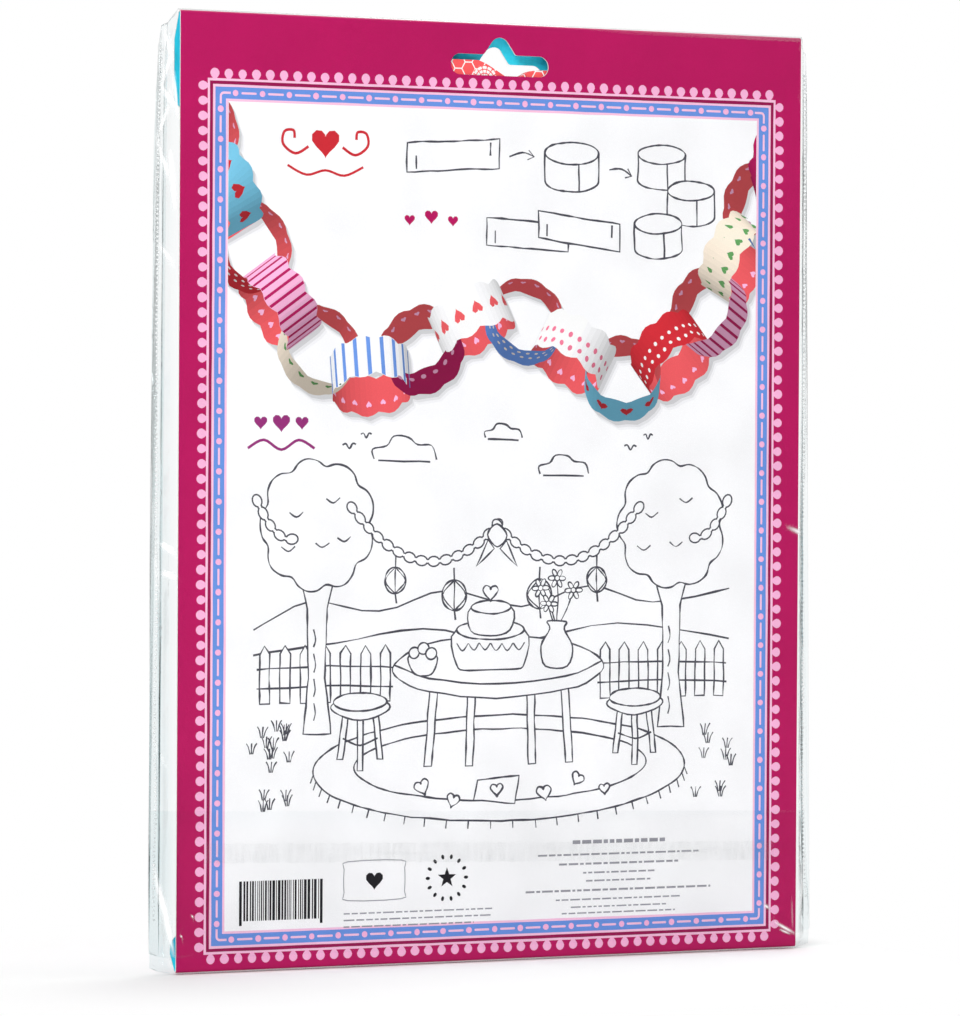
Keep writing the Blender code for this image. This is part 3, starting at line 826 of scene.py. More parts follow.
def oval(x, y, wide, high, turn=0.0, count=20):
    """An ellipse of this whole width and height."""
    ring = [(0.5 * wide * math.cos(math.tau * i / count), 0.5 * high * math.sin(math.tau * i / count))
            for i in range(count)]
    c, s = math.cos(turn), math.sin(turn)
    return [(x + px * c - py * s, y + px * s + py * c) for px, py in ring]


def heart(x, y, size, turn=0.0, count=18):
    """A heart of this width."""
    points = []
    c, s = math.cos(turn), math.sin(turn)
    for i in range(count):
        t = math.tau * i / count
        px = math.sin(t) ** 3 * 0.5 * size
        py = (13 * math.cos(t) - 5 * math.cos(2 * t) - 2 * math.cos(3 * t) - math.cos(4 * t)) / 32 * size
        points.append((x + px * c - py * s, y + px * s + py * c))
    return points


def stroke(points, width, colour, closed=False, wobble=0.0, pressure=0.0):
    """Ink a line of this width; wobble shifts it, and pressure makes its width uneven."""
    line = [Vector(p) for p in points]
    if wobble:
        line = [p + hand_sway(p.x * 0.16, p.y * 0.16, 9.0) * wobble for p in line]
    ends = line + line[:1] if closed else line
    left, right = [], []
    for i, p in enumerate(line):
        before = line[i - 1] if i or closed else p
        after = line[(i + 1) % len(line)] if i + 1 < len(line) or closed else p
        way = (after - before).normalized()
        half = width / 2 * (1 + pressure * noise.noise(Vector((p.x * 0.5, p.y * 0.5, 4.0))) * 1.6)
        across = Vector((-way.y, way.x)) * half
        left.append(p + across)
        right.append(p - across)
    for i in range(len(ends) - 1):
        j = (i + 1) % len(line)
        ink([tuple(left[i]), tuple(right[i]), tuple(right[j]), tuple(left[j])], colour)


def resampled(points, pitch, closed=False):
    """The same line with points about this far apart."""
    line = list(points) + ([points[0]] if closed else [])
    made = []
    for a, b in zip(line, line[1:]):
        count = max(1, round(math.dist(a, b) / pitch))
        made += [tuple(p + (q - p) * i / count for p, q in zip(a, b)) for i in range(count)]
    return made if closed else made + [tuple(line[-1])]


PENCIL_WIDTH = 0.5


def pencil(points, closed=False, smooth_line=True, width=PENCIL_WIDTH, colour="pencil"):
    """A hand-drawn line through the points."""
    line = spline(points, 4, closed) if smooth_line else resampled(points, 2.5, closed)
    stroke(line, width, INK[colour], closed, 0.35, 0.5)
    return line


def drawn(points, fill="white", smooth_line=True, width=PENCIL_WIDTH):
    """A hand-drawn closed shape that hides what is behind it."""
    line = spline(points, 4, True) if smooth_line else resampled(points, 2.5, True)
    shifted = [Vector(p) + hand_sway(p[0] * 0.16, p[1] * 0.16, 9.0) * 0.35 for p in line]
    ink([tuple(p) for p in shifted], INK[fill])
    stroke(line, width, INK["pencil"], True, 0.35, 0.5)


for x, y in ((PRINT_LEFT, PRINT_TOP), (PRINT_RIGHT, PRINT_TOP), (PRINT_RIGHT, PRINT_FOOT), (PRINT_LEFT, PRINT_FOOT)):
    inward_x, inward_y = (1 if x < 0 else -1), (1 if y == PRINT_FOOT else -1)
    cx, cy = x + inward_x * (stitch_line + 1.0), y + inward_y * (stitch_line + 1.0)
    bend = [(cx - inward_x * math.cos(t), cy - inward_y * math.sin(t)) for t in np.linspace(0, math.pi / 2, 7)]
    tail_a = (cx - inward_x, cy + inward_y * 2.1)
    tail_b = (cx + inward_x * 2.1, cy - inward_y)
    stroke([tail_a, *bend, tail_b], DASH_WIDTH, INK["line_pink"])
print("print fields so far:", len(print_fields))

# %% Paper rings along a path
chain_tree, given, result = new_geometry_tree("paper_rings_along_a_path", {
    "Count": ("Int", 10),
    "Radius": ("Float", 10.0),
    "Flatness": ("Float", 0.86),
    "Strip Width": ("Float", 10.0),
    "Scallop": ("Float", 0.8),
    "Scallops": ("Float", 9.0),
    "First Tilt": ("Float", -0.5),
    "Second Tilt": ("Float", 1.1),
    "Unevenness": ("Float", 0.2),
    "Seed": ("Int", 0),
    "Material": ("Material", None),
})
line = add(chain_tree, "GeometryNodeMeshToCurve", {"Mesh": given["Geometry"]})
spots = add(chain_tree, "GeometryNodeCurveToPoints", {"Curve": line.outputs[0], "Count": given["Count"]},
            mode="COUNT")
facing = add(chain_tree, "FunctionNodeAlignRotationToVector", {"Vector": spots.outputs["Tangent"]}, axis="X",
             pivot_axis="Z")
strip = add(chain_tree, "GeometryNodeMeshGrid", {"Size X": 1.0, "Size Y": 1.0, "Vertices X": 45, "Vertices Y": 2})
spot = add(chain_tree, "GeometryNodeInputPosition")
part = add(chain_tree, "ShaderNodeSeparateXYZ", {0: spot.outputs[0]})
around = add(chain_tree, "GeometryNodeStoreNamedAttribute", {"Geometry": strip.outputs["Mesh"], "Name": "around",
             "Value": part.outputs["X"]}, data_type="FLOAT", domain="POINT")
across = add(chain_tree, "GeometryNodeStoreNamedAttribute", {"Geometry": around.outputs[0], "Name": "across",
             "Value": part.outputs["Y"]}, data_type="FLOAT", domain="POINT")
turn = add(chain_tree, "ShaderNodeMath", {0: part.outputs["X"], 1: math.tau}, operation="MULTIPLY")
cosine = add(chain_tree, "ShaderNodeMath", {0: turn.outputs[0]}, operation="COSINE")
sine = add(chain_tree, "ShaderNodeMath", {0: turn.outputs[0]}, operation="SINE")
low_radius = add(chain_tree, "ShaderNodeMath", {0: given["Radius"], 1: given["Flatness"]}, operation="MULTIPLY")
ring_x = add(chain_tree, "ShaderNodeMath", {0: cosine.outputs[0], 1: given["Radius"]}, operation="MULTIPLY")
ring_y = add(chain_tree, "ShaderNodeMath", {0: sine.outputs[0], 1: low_radius.outputs[0]}, operation="MULTIPLY")
beat = add(chain_tree, "ShaderNodeMath", {0: turn.outputs[0], 1: given["Scallops"]}, operation="MULTIPLY")
half_beat = add(chain_tree, "ShaderNodeMath", {0: beat.outputs[0], 1: 0.5}, operation="MULTIPLY")
swing = add(chain_tree, "ShaderNodeMath", {0: half_beat.outputs[0]}, operation="SINE")
lobe = add(chain_tree, "ShaderNodeMath", {0: swing.outputs[0]}, operation="ABSOLUTE")
reach = add(chain_tree, "ShaderNodeMath", {0: lobe.outputs[0], 1: given["Scallop"], 2: given["Strip Width"]},
            operation="MULTIPLY_ADD")
ring_z = add(chain_tree, "ShaderNodeMath", {0: part.outputs["Y"], 1: reach.outputs[0]}, operation="MULTIPLY")
rolled = add(chain_tree, "ShaderNodeCombineXYZ", {0: ring_x.outputs[0], 1: ring_y.outputs[0], 2: ring_z.outputs[0]})
ring = add(chain_tree, "GeometryNodeSetPosition", {"Geometry": across.outputs[0], "Position": rolled.outputs[0]})
number = add(chain_tree, "GeometryNodeInputIndex")
parity = add(chain_tree, "ShaderNodeMath", {0: number.outputs[0], 1: 2.0}, operation="MODULO")
chance = add(chain_tree, "FunctionNodeRandomValue", {2: -1.0, 3: 1.0, 8: given["Seed"]}, data_type="FLOAT")
tilt = add(chain_tree, "ShaderNodeMapRange", {"Value": parity.outputs[0], "To Min": given["First Tilt"],
           "To Max": given["Second Tilt"]})
sway = add(chain_tree, "ShaderNodeMath", {0: chance.outputs[1], 1: given["Unevenness"], 2: tilt.outputs[0]},
           operation="MULTIPLY_ADD")
lean = add(chain_tree, "FunctionNodeAxisAngleToRotation", {"Axis": (1, 0, 0), "Angle": sway.outputs[0]})
way = add(chain_tree, "FunctionNodeRotateRotation", {"Rotation": facing.outputs[0], "Rotate By": lean.outputs[0]},
          rotation_space="LOCAL")
rings = add(chain_tree, "GeometryNodeInstanceOnPoints", {"Points": spots.outputs[0], "Instance": ring.outputs[0],
            "Rotation": way.outputs[0]})
counted = add(chain_tree, "GeometryNodeStoreNamedAttribute", {"Geometry": rings.outputs[0], "Name": "link",
              "Value": number.outputs[0]}, data_type="INT", domain="INSTANCE")
real = add(chain_tree, "GeometryNodeRealizeInstances", {0: counted.outputs[0]})
inked = add(chain_tree, "GeometryNodeSetMaterial", {0: real.outputs[0], "Material": given["Material"]})
chain_tree.links.new(inked.outputs[0], result.inputs[0])
print("chain tree:", len(chain_tree.nodes), "nodes")


def rolled_strips(path, count, **sizes):
    """The strips of a chain along a path: for each, its two edges as lists of points."""
    values = {"Count": count, "Material": print_finish, **sizes}
    mesh = grown(chain_tree, [(*p, 0.0) for p in path], values)
    strips = {}
    for i, vertex in enumerate(mesh.vertices):
        key = mesh.attributes["link"].data[i].value
        side = mesh.attributes["across"].data[i].value > 0
        strips.setdefault(key, ([], []))[side].append((mesh.attributes["around"].data[i].value, vertex.co.copy()))
    bpy.data.meshes.remove(mesh)
    return [[[co for _, co in sorted(edge, key=lambda e: e[0])] for edge in strips[key]] for key in sorted(strips)]


# %% Patterns printed on the strips
STRIP_LIGHT = Vector((-0.35, 0.62, 0.7)).normalized()
PATTERNS = [
    # outside colour, motif, motif colour, motif size, pitch round the ring, rows
    ("white", "dot", "rose", 1.5, 3.3, 3),
    ("sky", "heart", "red", 4.6, 9.0, 1),
    ("red", "dot", "white", 1.2, 2.9, 3),
    ("picot_pink", "stripe", "magenta", 0.9, 3.0, 1),
    ("cream", "heart", "leaf", 2.6, 5.0, 2),
    ("white", "stripe", "blue", 1.3, 4.4, 1),
    ("magenta", "dot", "picot_pink", 1.8, 4.2, 2),
    ("white", "heart", "coral", 3.8, 6.6, 1),
    ("blue", "dot", "cream", 1.3, 3.0, 3),
]
INSIDE = ("coral", "heart", "picot_pink", 1.9, 4.7, 2)


def shaded(colour, normal, gain=1.0):
    """A strip's colour under the picture's own light."""
    level = 0.5 + 0.62 * max(0.0, normal.dot(STRIP_LIGHT)) ** 1.1
    return tuple(min(c * level * gain, 0.96) for c in colour)


def kept_in_panel(points):
    """Points held inside the white panel, so that a picture ends at the frame."""
    room = stitch_line + BAND / 2 + LINE
    left, right = PRINT_LEFT + room + 0.1, PRINT_RIGHT - room - 0.1
    low, high = PRINT_FOOT + room + 0.1, PRINT_TOP - room - 0.1
    return [(min(max(p[0], left), right), min(max(p[1], low), high)) for p in points]


def motif_points(kind, size, x, y, width):
    """Outline of one motif on the flat strip."""
    if kind == "heart":
        return heart(x, y, size, 0.0, 12)
    if kind == "dot":
        return oval(x, y, size, size, 0.0, 9)
    return [(x - size / 2, -width / 2), (x + size / 2, -width / 2), (x + size / 2, width / 2), (x - size / 2, width / 2)]


def strip_pieces(lower, upper, pattern):
    """The inked pieces of one rolled strip, each as (depth, points, colour)."""
    pieces = []
    segments = len(lower) - 1
    length = sum(math.dist(a, b) for a, b in zip(lower, lower[1:]))
    width = (upper[segments // 2] - lower[segments // 2]).length
    for j in range(segments):
        corner = [lower[j], lower[j + 1], upper[j + 1], upper[j]]
        normal = (lower[j + 1] - lower[j]).cross(upper[j] - lower[j]).normalized()
        outside = normal.z > 0
        base = INK[pattern[0]] if outside else INK[INSIDE[0]]
        depth = sum(p.z for p in corner) / 4
        pieces.append((depth, [tuple(p[:2]) for p in corner],
                       shaded(base, normal if outside else -normal, 1.0 if outside else 0.92)))
    for colour_at, (_, kind, colour, size, pitch, rows) in ((1, pattern), (-1, INSIDE)):
        count = round(length / pitch)
        for i in range(count):
            for row in range(rows):
                x = (i + 0.5 + 0.5 * (row % 2)) * length / count % length
                y = ((row + 0.5) / rows - 0.5) * width * 0.86
                flat = motif_points(kind, size, 0.0, y, width * 0.98)
                points = []
                for px, py in flat:
                    at = min(max((x + px * colour_at) / length, 0.0), 0.9999) * segments
                    j, share = int(at), at - int(at)
                    a = lower[j].lerp(lower[j + 1], share)
                    b = upper[j].lerp(upper[j + 1], share)
                    points.append(a.lerp(b, min(max(py / width + 0.5, 0.0), 1.0)))
                j = min(int(x / length * segments), segments - 1)
                normal = (lower[j + 1] - lower[j]).cross(upper[j] - lower[j]).normalized()
                if normal.z * colour_at > 0.12:
                    pieces.append((max(p.z for p in points) + 0.25, [tuple(p[:2]) for p in points],
                                   shaded(INK[colour], normal * colour_at)))
    return pieces


def ink_chain(path, count, shadow, first=0, **sizes):
    """Ink a chain of printed strips along a path, with its soft shadow on the paper."""
    strips = rolled_strips(path, count, **sizes)
    pieces = []
    for i, (lower, upper) in enumerate(strips):
        pieces += strip_pieces(lower, upper, PATTERNS[(i + first) % len(PATTERNS)])
    for away, grey in shadow:
        for lower, upper in strips:
            for j in range(0, len(lower) - 1, 2):
                corner = [lower[j], lower[j + 2], upper[j + 2], upper[j]]
                ink(kept_in_panel([(p.x + away * 0.7, p.y - away) for p in corner]), rgb(grey, grey, grey + 3))
    for _, points, colour in sorted(pieces, key=lambda piece: piece[0]):
        ink(kept_in_panel(points), colour)
    return len(strips)


SWAG = [(-96.0, -34.0), (-82.0, -62.0), (-66.0, -88.0), (-44.0, -103.0), (-22.0, -94.0), (0.0, -84.0),
        (22.0, -94.0), (44.0, -103.0), (66.0, -88.0), (82.0, -62.0), (96.0, -34.0)]
links = ink_chain(spline(SWAG, 6), 16, ((2.6, 243), (1.9, 228), (1.2, 205)), Radius=12.6, Scallop=3.6,
                  **{"Strip Width": 10.8, "Seed": 3})
print(links, "printed rings,", len(print_fields), "fields")

# %% [markdown]
# The line drawing is made the way it would be drawn by hand: things far off first, and
# each nearer thing as a white shape with a soft uneven outline, so that it hides what is
# behind it. Every line sways a little and changes its width, like pencil on paper.

# %% Step drawings
def strip_drawing(x, y, width, high, slant=0.0):
    """A flat strip with a slot near each end."""
    corners = [(x, y), (x + width, y + slant), (x + width, y + slant + high), (x, y + high)]
    drawn(corners, smooth_line=False)
    for end in (0.1, 0.9):
        sx = x + width * end
        sy = y + slant * end
        low, top = (0.1, 0.55) if end < 0.5 else (0.45, 0.9)
        pencil([(sx, sy + high * low), (sx, sy + high * top)], smooth_line=False)


def loop_drawing(x, y, radius, high, slant=0.0):
    """A strip rolled to a ring, seen from a little above."""
    ellipse = oval(x, y, 2 * radius, radius * 0.72, slant)
    foot = [(px, py - high) for px, py in ellipse]
    drawn(foot)
    ink([*ellipse[10:], ellipse[0], foot[0], *foot[11:][::-1], foot[10]], INK["white"])
    pencil([ellipse[10], foot[10]], smooth_line=False)
    pencil([ellipse[0], foot[0]], smooth_line=False)
    pencil([foot[10], *foot[11:20], foot[0]])
    drawn(ellipse)
    pencil([(x + radius * 0.25, y - radius * 0.35), (x + radius * 0.25, y - high - radius * 0.33)],
           smooth_line=False)


def arrow(x, y, length, turn=0.0):
    """A small curved arrow."""
    c, s = math.cos(turn), math.sin(turn)
    spot = lambda px, py: (x + px * c - py * s, y + px * s + py * c)
    pencil([spot(0, 0), spot(length * 0.5, 1.2), spot(length, 0)])
    pencil([spot(length - 1.9, 1.9), spot(length, 0), spot(length - 2.2, -1.0)], smooth_line=False)


strip_drawing(-30.0, -44.0, 30.0, 8.5, 2.0)
arrow(3.5, -38.5, 8.0)
loop_drawing(24.0, -37.0, 9.0, 8.0)
arrow(36.5, -41.5, 7.5, -0.2)
loop_drawing(54.0, -36.5, 8.0, 7.5)
loop_drawing(64.0, -47.0, 8.0, 7.5)
loop_drawing(53.0, -57.0, 8.0, 7.5)
strip_drawing(-4.0, -64.5, 27.0, 8.0, -1.5)
strip_drawing(13.0, -62.0, 27.0, 8.0, -3.5)
for x, y, size in ((-22.0, -56.5, 4.4), (-15.0, -57.6, 3.4), (-29.0, -57.6, 3.4)):
    ink(heart(x, y, size), INK["magenta"])
print(len(print_fields), "fields")

# %% Garden drawing, far things
def cloud(x, y, width):
    """A cloud with a flat foot."""
    pencil([(x - width * 0.5, y), (x - width * 0.52, y + width * 0.14), (x - width * 0.3, y + width * 0.2),
            (x - width * 0.18, y + width * 0.34), (x + width * 0.06, y + width * 0.32),
            (x + width * 0.2, y + width * 0.22), (x + width * 0.42, y + width * 0.2), (x + width * 0.5, y)])
    pencil([(x - width * 0.44, y - 0.4), (x + width * 0.4, y - 0.8)])


def crown(x, y, wide, high, lobes, seed):
    """A tree's crown of round lobes."""
    points = []
    for i in range(lobes * 4):
        t = math.tau * i / (lobes * 4)
        swell = 1.0 + 0.11 * abs(math.sin(t * lobes / 2)) + 0.05 * noise.noise(Vector((t, seed, 0.0)))
        points.append((x + wide / 2 * swell * math.cos(t), y + high / 2 * swell * math.sin(t)))
    drawn(points)
    for px, py in ((-0.2, 0.1), (0.15, 0.22), (0.05, -0.15), (-0.28, -0.18), (0.26, -0.1)):
        sx, sy = x + px * wide, y + py * high
        pencil([(sx - 2.2, sy), (sx, sy - 1.3), (sx + 2.2, sy + 0.2)], width=0.4)


cloud(-30.0, -127.0, 20.0)
cloud(22.0, -131.0, 16.0)
cloud(2.0, -120.5, 12.0)
pencil([(-78, -176), (-60, -168), (-38, -171), (-16, -165), (8, -170), (30, -164), (52, -169), (78, -165)])
pencil([(-78, -183), (-52, -180), (-24, -176), (6, -180), (40, -175), (78, -180)])
for side in (-1, 1):
    for i in range(7):
        x = side * (36 + 6.4 * i)
        drawn([(x - 1.6, -197), (x - 1.6, -183), (x, -180.6), (x + 1.6, -183), (x + 1.6, -197)], smooth_line=False)
    for y in (-187.0, -192.6):
        pencil([(side * 33.5, y), (side * 54, y + 0.4), (side * 77, y - 0.2)])
for side, seed in ((-1, 1.0), (1, 6.0)):
    x = side * 58.0
    drawn([(x - 4.2, -206), (x - 2.6, -190), (x - 2.9, -170), (x - 6.5, -158), (x + 6.5, -158), (x + 3.1, -170),
           (x + 2.7, -190), (x + 4.6, -206)], smooth_line=False)
    for dy in (-176, -183, -190, -197):
        pencil([(x - 0.8, dy), (x - 0.3, dy - 3.0), (x - 0.9, dy - 5.2)], width=0.4)
    crown(x, -146.0, 33.0, 35.0, 9, seed)
print(len(print_fields), "fields")

# %% Garden drawing, the chain and lanterns
def ring_line(points, count, wide, high):
    """A drawn chain: each ring is a dark stamp with a smaller white one on it."""
    path = [(*p, 0) for p in points]
    for grow, colour in ((0.0, "pencil"), (-0.95, "white")):
        for shift in (0, 1):
            size = {"Width": wide + grow, "Height": high + grow} if shift == 0 else {"Width": wide * 0.8 + grow,
                                                                                     "Height": high * 0.5 + grow}
            step = shift * 0.5 / count
            values = {"Count": count - shift, "Material": print_finish, "Seed": 5, "Unevenness": 0.05,
                      "Foot": 1.0, **size}
            part = path if shift == 0 else shifted_path(path, step)
            row = grown(stamp_tree, part, values)
            for face in row.polygons:
                ink([tuple(row.vertices[i].co[:2]) for i in face.vertices], INK[colour])
            bpy.data.meshes.remove(row)


def shifted_path(path, step):
    """A path cut short at both ends by a share of its length."""
    lengths = run_lengths(path)
    total = lengths[-1]
    inner = [tuple(along(path, lengths, total * (step + (1 - 2 * step) * i / 40))) for i in range(41)]
    return inner


def hanging(ax, ay, bx, by, sag, count=24):
    """A line that hangs between two points."""
    return [(ax + (bx - ax) * i / count, ay + (by - ay) * i / count - sag * (1 - (2 * i / count - 1) ** 2))
            for i in range(count + 1)]


for ax, ay, bx, by, sag, count in ((-47, -141, 0, -146, 13, 15), (0, -146, 47, -141, 13, 15),
                                   (-77, -139, -66, -150, 3, 5), (66, -150, 77, -139, 3, 5)):
    ring_line(hanging(ax, ay, bx, by, sag), count, 4.3, 3.3)
for x, y, size in ((-33.0, -155.0, 5.0), (-14.0, -158.5, 6.0), (14.0, -158.5, 6.0), (33.0, -155.0, 5.0)):
    pencil([(x, y), (x, y - 3.4)], smooth_line=False)
    drawn(oval(x, y - 3.4 - size * 0.75, size * 1.35, size * 1.5, 0.0, 12))
    for bow in (-0.32, 0.0, 0.32):
        pencil([(x, y - 3.4), (x + bow * size * 2, y - 3.4 - size * 0.75), (x, y - 3.4 - size * 1.5)], width=0.4)
    pencil([(x, y - 3.4 - size * 1.5), (x + 0.4, y - 6.2 - size * 1.5)], smooth_line=False)
drawn([(-3.2, -149), (0, -145.5), (3.2, -149), (0, -152.5)])
drawn([(-3.0, -150.5), (-6.6, -158), (-1.0, -153)], smooth_line=False)
drawn([(3.0, -150.5), (6.6, -158), (1.0, -153)], smooth_line=False)
print(len(print_fields), "fields")

# %% Garden drawing, blanket, table and stools
drawn(oval(2.0, -217.0, 122.0, 31.0, 0.0, 28))
pencil(oval(2.0, -216.0, 96.0, 21.0, 0.0, 24), closed=True)
for i in range(26):
    t = math.pi + math.pi * (i + 0.5) / 26
    x, y = 2.0 + 61.0 * math.cos(t), -217.0 + 15.5 * math.sin(t)
    pencil([(x, y), (x + 0.9 * math.cos(t), y - 2.4)], smooth_line=False, width=0.4)
for x, lean in ((-20.0, -2.2), (22.0, 2.2), (-8.0, -0.8), (11.0, 0.8)):
    drawn([(x - 1.3, -188), (x + 1.3, -188), (x + 1.2 + lean, -216), (x - 1.2 + lean, -216)], smooth_line=False)
drawn([(-33.0, -186.0), (-31.8, -190.4), (-22.0, -194.4), (0.0, -196.6), (23.0, -194.4), (33.6, -190.4),
       (34.8, -186.0), (24, -180.6), (0.5, -178.2), (-23, -180.6)])
pencil([(-33.0, -186.4), (-22.0, -190.4), (0.5, -192.5), (23.0, -190.4), (34.8, -186.4)])
drawn([(-13, -186.5), (-13, -176.5), (9, -176.5), (9, -186.5), (5, -188.2), (-9, -188.2)])
drawn(oval(-2.0, -176.5, 22.0, 5.6, 0.0, 14))
drawn([(-8.5, -176.6), (-8.5, -170), (4.5, -170), (4.5, -176.6), (-2, -178.2)])
drawn(oval(-2.0, -170.0, 13.0, 3.8, 0.0, 12))
for i in range(6):
    x = -11.2 + i * 3.7
    pencil([(x - 1.8, -180.4), (x, -182.6), (x + 1.8, -180.4)], width=0.4)
drawn(heart(-2.0, -165.6, 5.2, 0.0, 12))
drawn([(16.2, -187.5), (14.6, -181.5), (17.4, -176.6), (16.8, -174.4), (22.8, -174.4), (22.2, -176.6),
       (25.0, -181.5), (23.4, -187.5)])
for x, y, ax in ((14.5, -164.5, 18.6), (19.8, -161.8, 19.8), (25.2, -165.4, 21.0), (17.2, -169.2, 19.2)):
    pencil([(ax, -174.4), ((ax + x) / 2 + 0.3, (y - 174.4) / 2), (x, y)], width=0.4)
    for i in range(6):
        t = math.tau * i / 6
        drawn(oval(x + 1.7 * math.cos(t), y + 1.7 * math.sin(t), 2.3, 1.3, t, 7), width=0.35)
    drawn(oval(x, y, 1.6, 1.6, 0.0, 7), width=0.35)
drawn([(-27.5, -188.5), (-28.5, -183.6), (-19.6, -183.6), (-20.6, -188.5), (-24, -189.6)])
for x, y in ((-26.8, -183.0), (-23.8, -181.8), (-21.2, -183.2)):
    drawn(oval(x, y, 3.5, 3.3, 0.0, 9))
for side in (-1, 1):
    x = 1.0 + side * 45.0
    for leg in (-6.4, 6.4, 0.0):
        y = -217.0 if leg == 0 else -213.5
        drawn([(x + leg * 0.72 - 0.9, -199), (x + leg * 0.72 + 0.9, -199), (x + leg + 0.9, y), (x + leg - 0.9, y)],
              smooth_line=False)
    pencil([(x - 5.6, -207.5), (x, -209.4), (x + 5.6, -207.5)])
    drawn([(x - 8.6, -197.4), (x - 8.2, -200.0), (x, -202.4), (x + 8.2, -200.0), (x + 8.6, -197.4), (x, -194.6)])
    drawn(oval(x, -197.0, 17.2, 5.2, 0.0, 14))
for x, y, size, turn in ((-24.0, -222.0, 5.0, 0.4), (-14.0, -226.0, 4.4, -0.3), (16.0, -224.5, 5.0, 0.2),
                         (27.0, -220.6, 4.2, -0.5), (36.0, -223.6, 3.6, 0.1)):
    drawn(heart(x, y, size, turn, 12))
drawn([(-6.0, -220.4), (7.5, -219.2), (6.2, -227.4), (-7.2, -226.2)], smooth_line=False)
drawn(heart(0.2, -223.2, 4.2, 0.1, 12))
print(len(print_fields), "fields")

# %% Garden drawing, grass and small marks
for i in range(26):
    x = random.uniform(-78, 78)
    y = random.uniform(-229, -201)
    if abs(x) < 66 and y > -233:
        x = math.copysign(random.uniform(66, 79), x)
    for bend in (-1.0, 0.1, 1.1):
        pencil([(x + bend * 0.4, y), (x + bend * 0.9, y + 2.0), (x + bend * 1.6, y + 3.2)], width=0.38)
for x, y, span in ((-48.0, -124.0, 4.4), (-42.5, -121.0, 3.4), (44.0, -124.0, 4.0), (50.0, -120.6, 3.2)):
    pencil([(x - span / 2, y + 1.1), (x - span / 4, y + 1.4), (x, y), (x + span / 4, y + 1.4), (x + span / 2, y + 1.1)])
ink(heart(-56.0, -36.0, 9.0), INK["red"])
for side in (-1, 1):
    curl = [(side * 5.4, -1.5), (side * 9.5, -3.6), (side * 13.4, -1.0), (side * 13.0, 2.6), (side * 10.2, 3.0),
            (side * 9.8, 0.8)]
    stroke(spline([(-56.0 + x, -36.0 + y) for x, y in curl]), 0.8, INK["red"])
stroke(spline([(-68.0, -43.0), (-62.0, -45.6), (-56.0, -44.2), (-50.0, -45.6), (-44.0, -43.0)]), 0.7, INK["red"])
for x, size in ((-76.0, 4.2), (-69.5, 5.6), (-63.0, 4.2)):
    ink(heart(x, -116.5, size), INK["lilac"])
stroke(spline([(-80.0, -124.0), (-75.0, -121.6), (-69.5, -124.4), (-64.0, -121.6), (-59.0, -124.0)]), 0.8,
       INK["lilac"])
print(len(print_fields), "fields")

# %% Marks at the foot
BAR_LEFT, BAR_RIGHT, BAR_TOP, BAR_FOOT = -82.0, -55.4, -247.6, -259.0
x = BAR_LEFT
while x < BAR_RIGHT - 0.4:
    width = random.choice((0.28, 0.28, 0.42, 0.6, 0.84))
    foot = BAR_FOOT - (1.3 if x - BAR_LEFT < 0.9 or BAR_RIGHT - x < 1.6 else 0.0)
    ink([(x, foot), (x + width, foot), (x + width, BAR_TOP), (x, BAR_TOP)], INK["black"])
    x += width + random.choice((0.26, 0.3, 0.5))
box = [(px * 19.4 / 2 - 39.2, py * 11.2 / 2 - 248.6) for px, py in
       ((-1, -0.6), (-0.88, -1), (0.88, -1), (1, -0.6), (1, 0.6), (0.88, 1), (-0.88, 1), (-1, 0.6))]
stroke(spline(box, 3, True), 0.3, INK["grey"], True)
ink(heart(-39.2, -248.4, 5.6), INK["black"])
for i in range(14):
    t = math.tau * i / 14
    ink(oval(-15.8 + 6.2 * math.cos(t), -248.6 + 6.2 * math.sin(t), 1.5, 1.0, t, 8), INK["black"])
ink([(-15.8 + (3.1 if i % 2 == 0 else 1.25) * math.sin(math.tau * i / 10),
      -248.6 + (3.1 if i % 2 == 0 else 1.25) * math.cos(math.tau * i / 10)) for i in range(10)], INK["black"])


def small_print(x, y, width, height, pitch=1.35):
    """A line of small print, as short bars of uneven length."""
    run = x
    while run < x + width:
        bar = random.uniform(0.9, 3.6)
        bar = min(bar, x + width - run)
        ink([(run, y), (run + bar, y), (run + bar, y + height), (run, y + height)], INK["grey"])
        run += bar + pitch * 0.45


for i, (width, height) in enumerate(((48, 0.42), (48, 0.42), (42, 0.42))):
    small_print(-49.0, -258.2 - i * 1.9, width, height)
for y, width, height in ((-240.0, 31.0, 1.1), (-243.4, 54.0, 0.55), (-246.2, 40.0, 0.6), (-248.8, 24.0, 0.5),
                         (-251.2, 22.0, 0.5), (-254.0, 62.0, 0.6), (-256.6, 42.0, 0.45), (-258.8, 32.0, 0.42),
                         (-260.6, 38.0, 0.42)):
    small_print(41.0 - width / 2, y, width, height)
print("print fields:", len(print_fields))

# %% Lay the printed cover
cover = build_board("printed_cover", card_outline, [panel_slot, header_slot], card_line, print_fields,
                    [print_finish, liner, cut_edge])
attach(cover, "root")
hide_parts("cover_card")

# %% [markdown]
# The bag is one sheet of clear film: it hangs over the header, its mouth is at the foot,
# and a flap turns up from there over the printed side. Both sides are welded, a little
# way out from the card. Film shows only through what it does to light, so its form has
# to be right: it is laid as a fine sheet, tight over the card and slack in the margins,
# with soft waves, pulled corners and the short kinks of handling. It is one skin without
# a wall, since each wall of it would dim the print behind a second time.

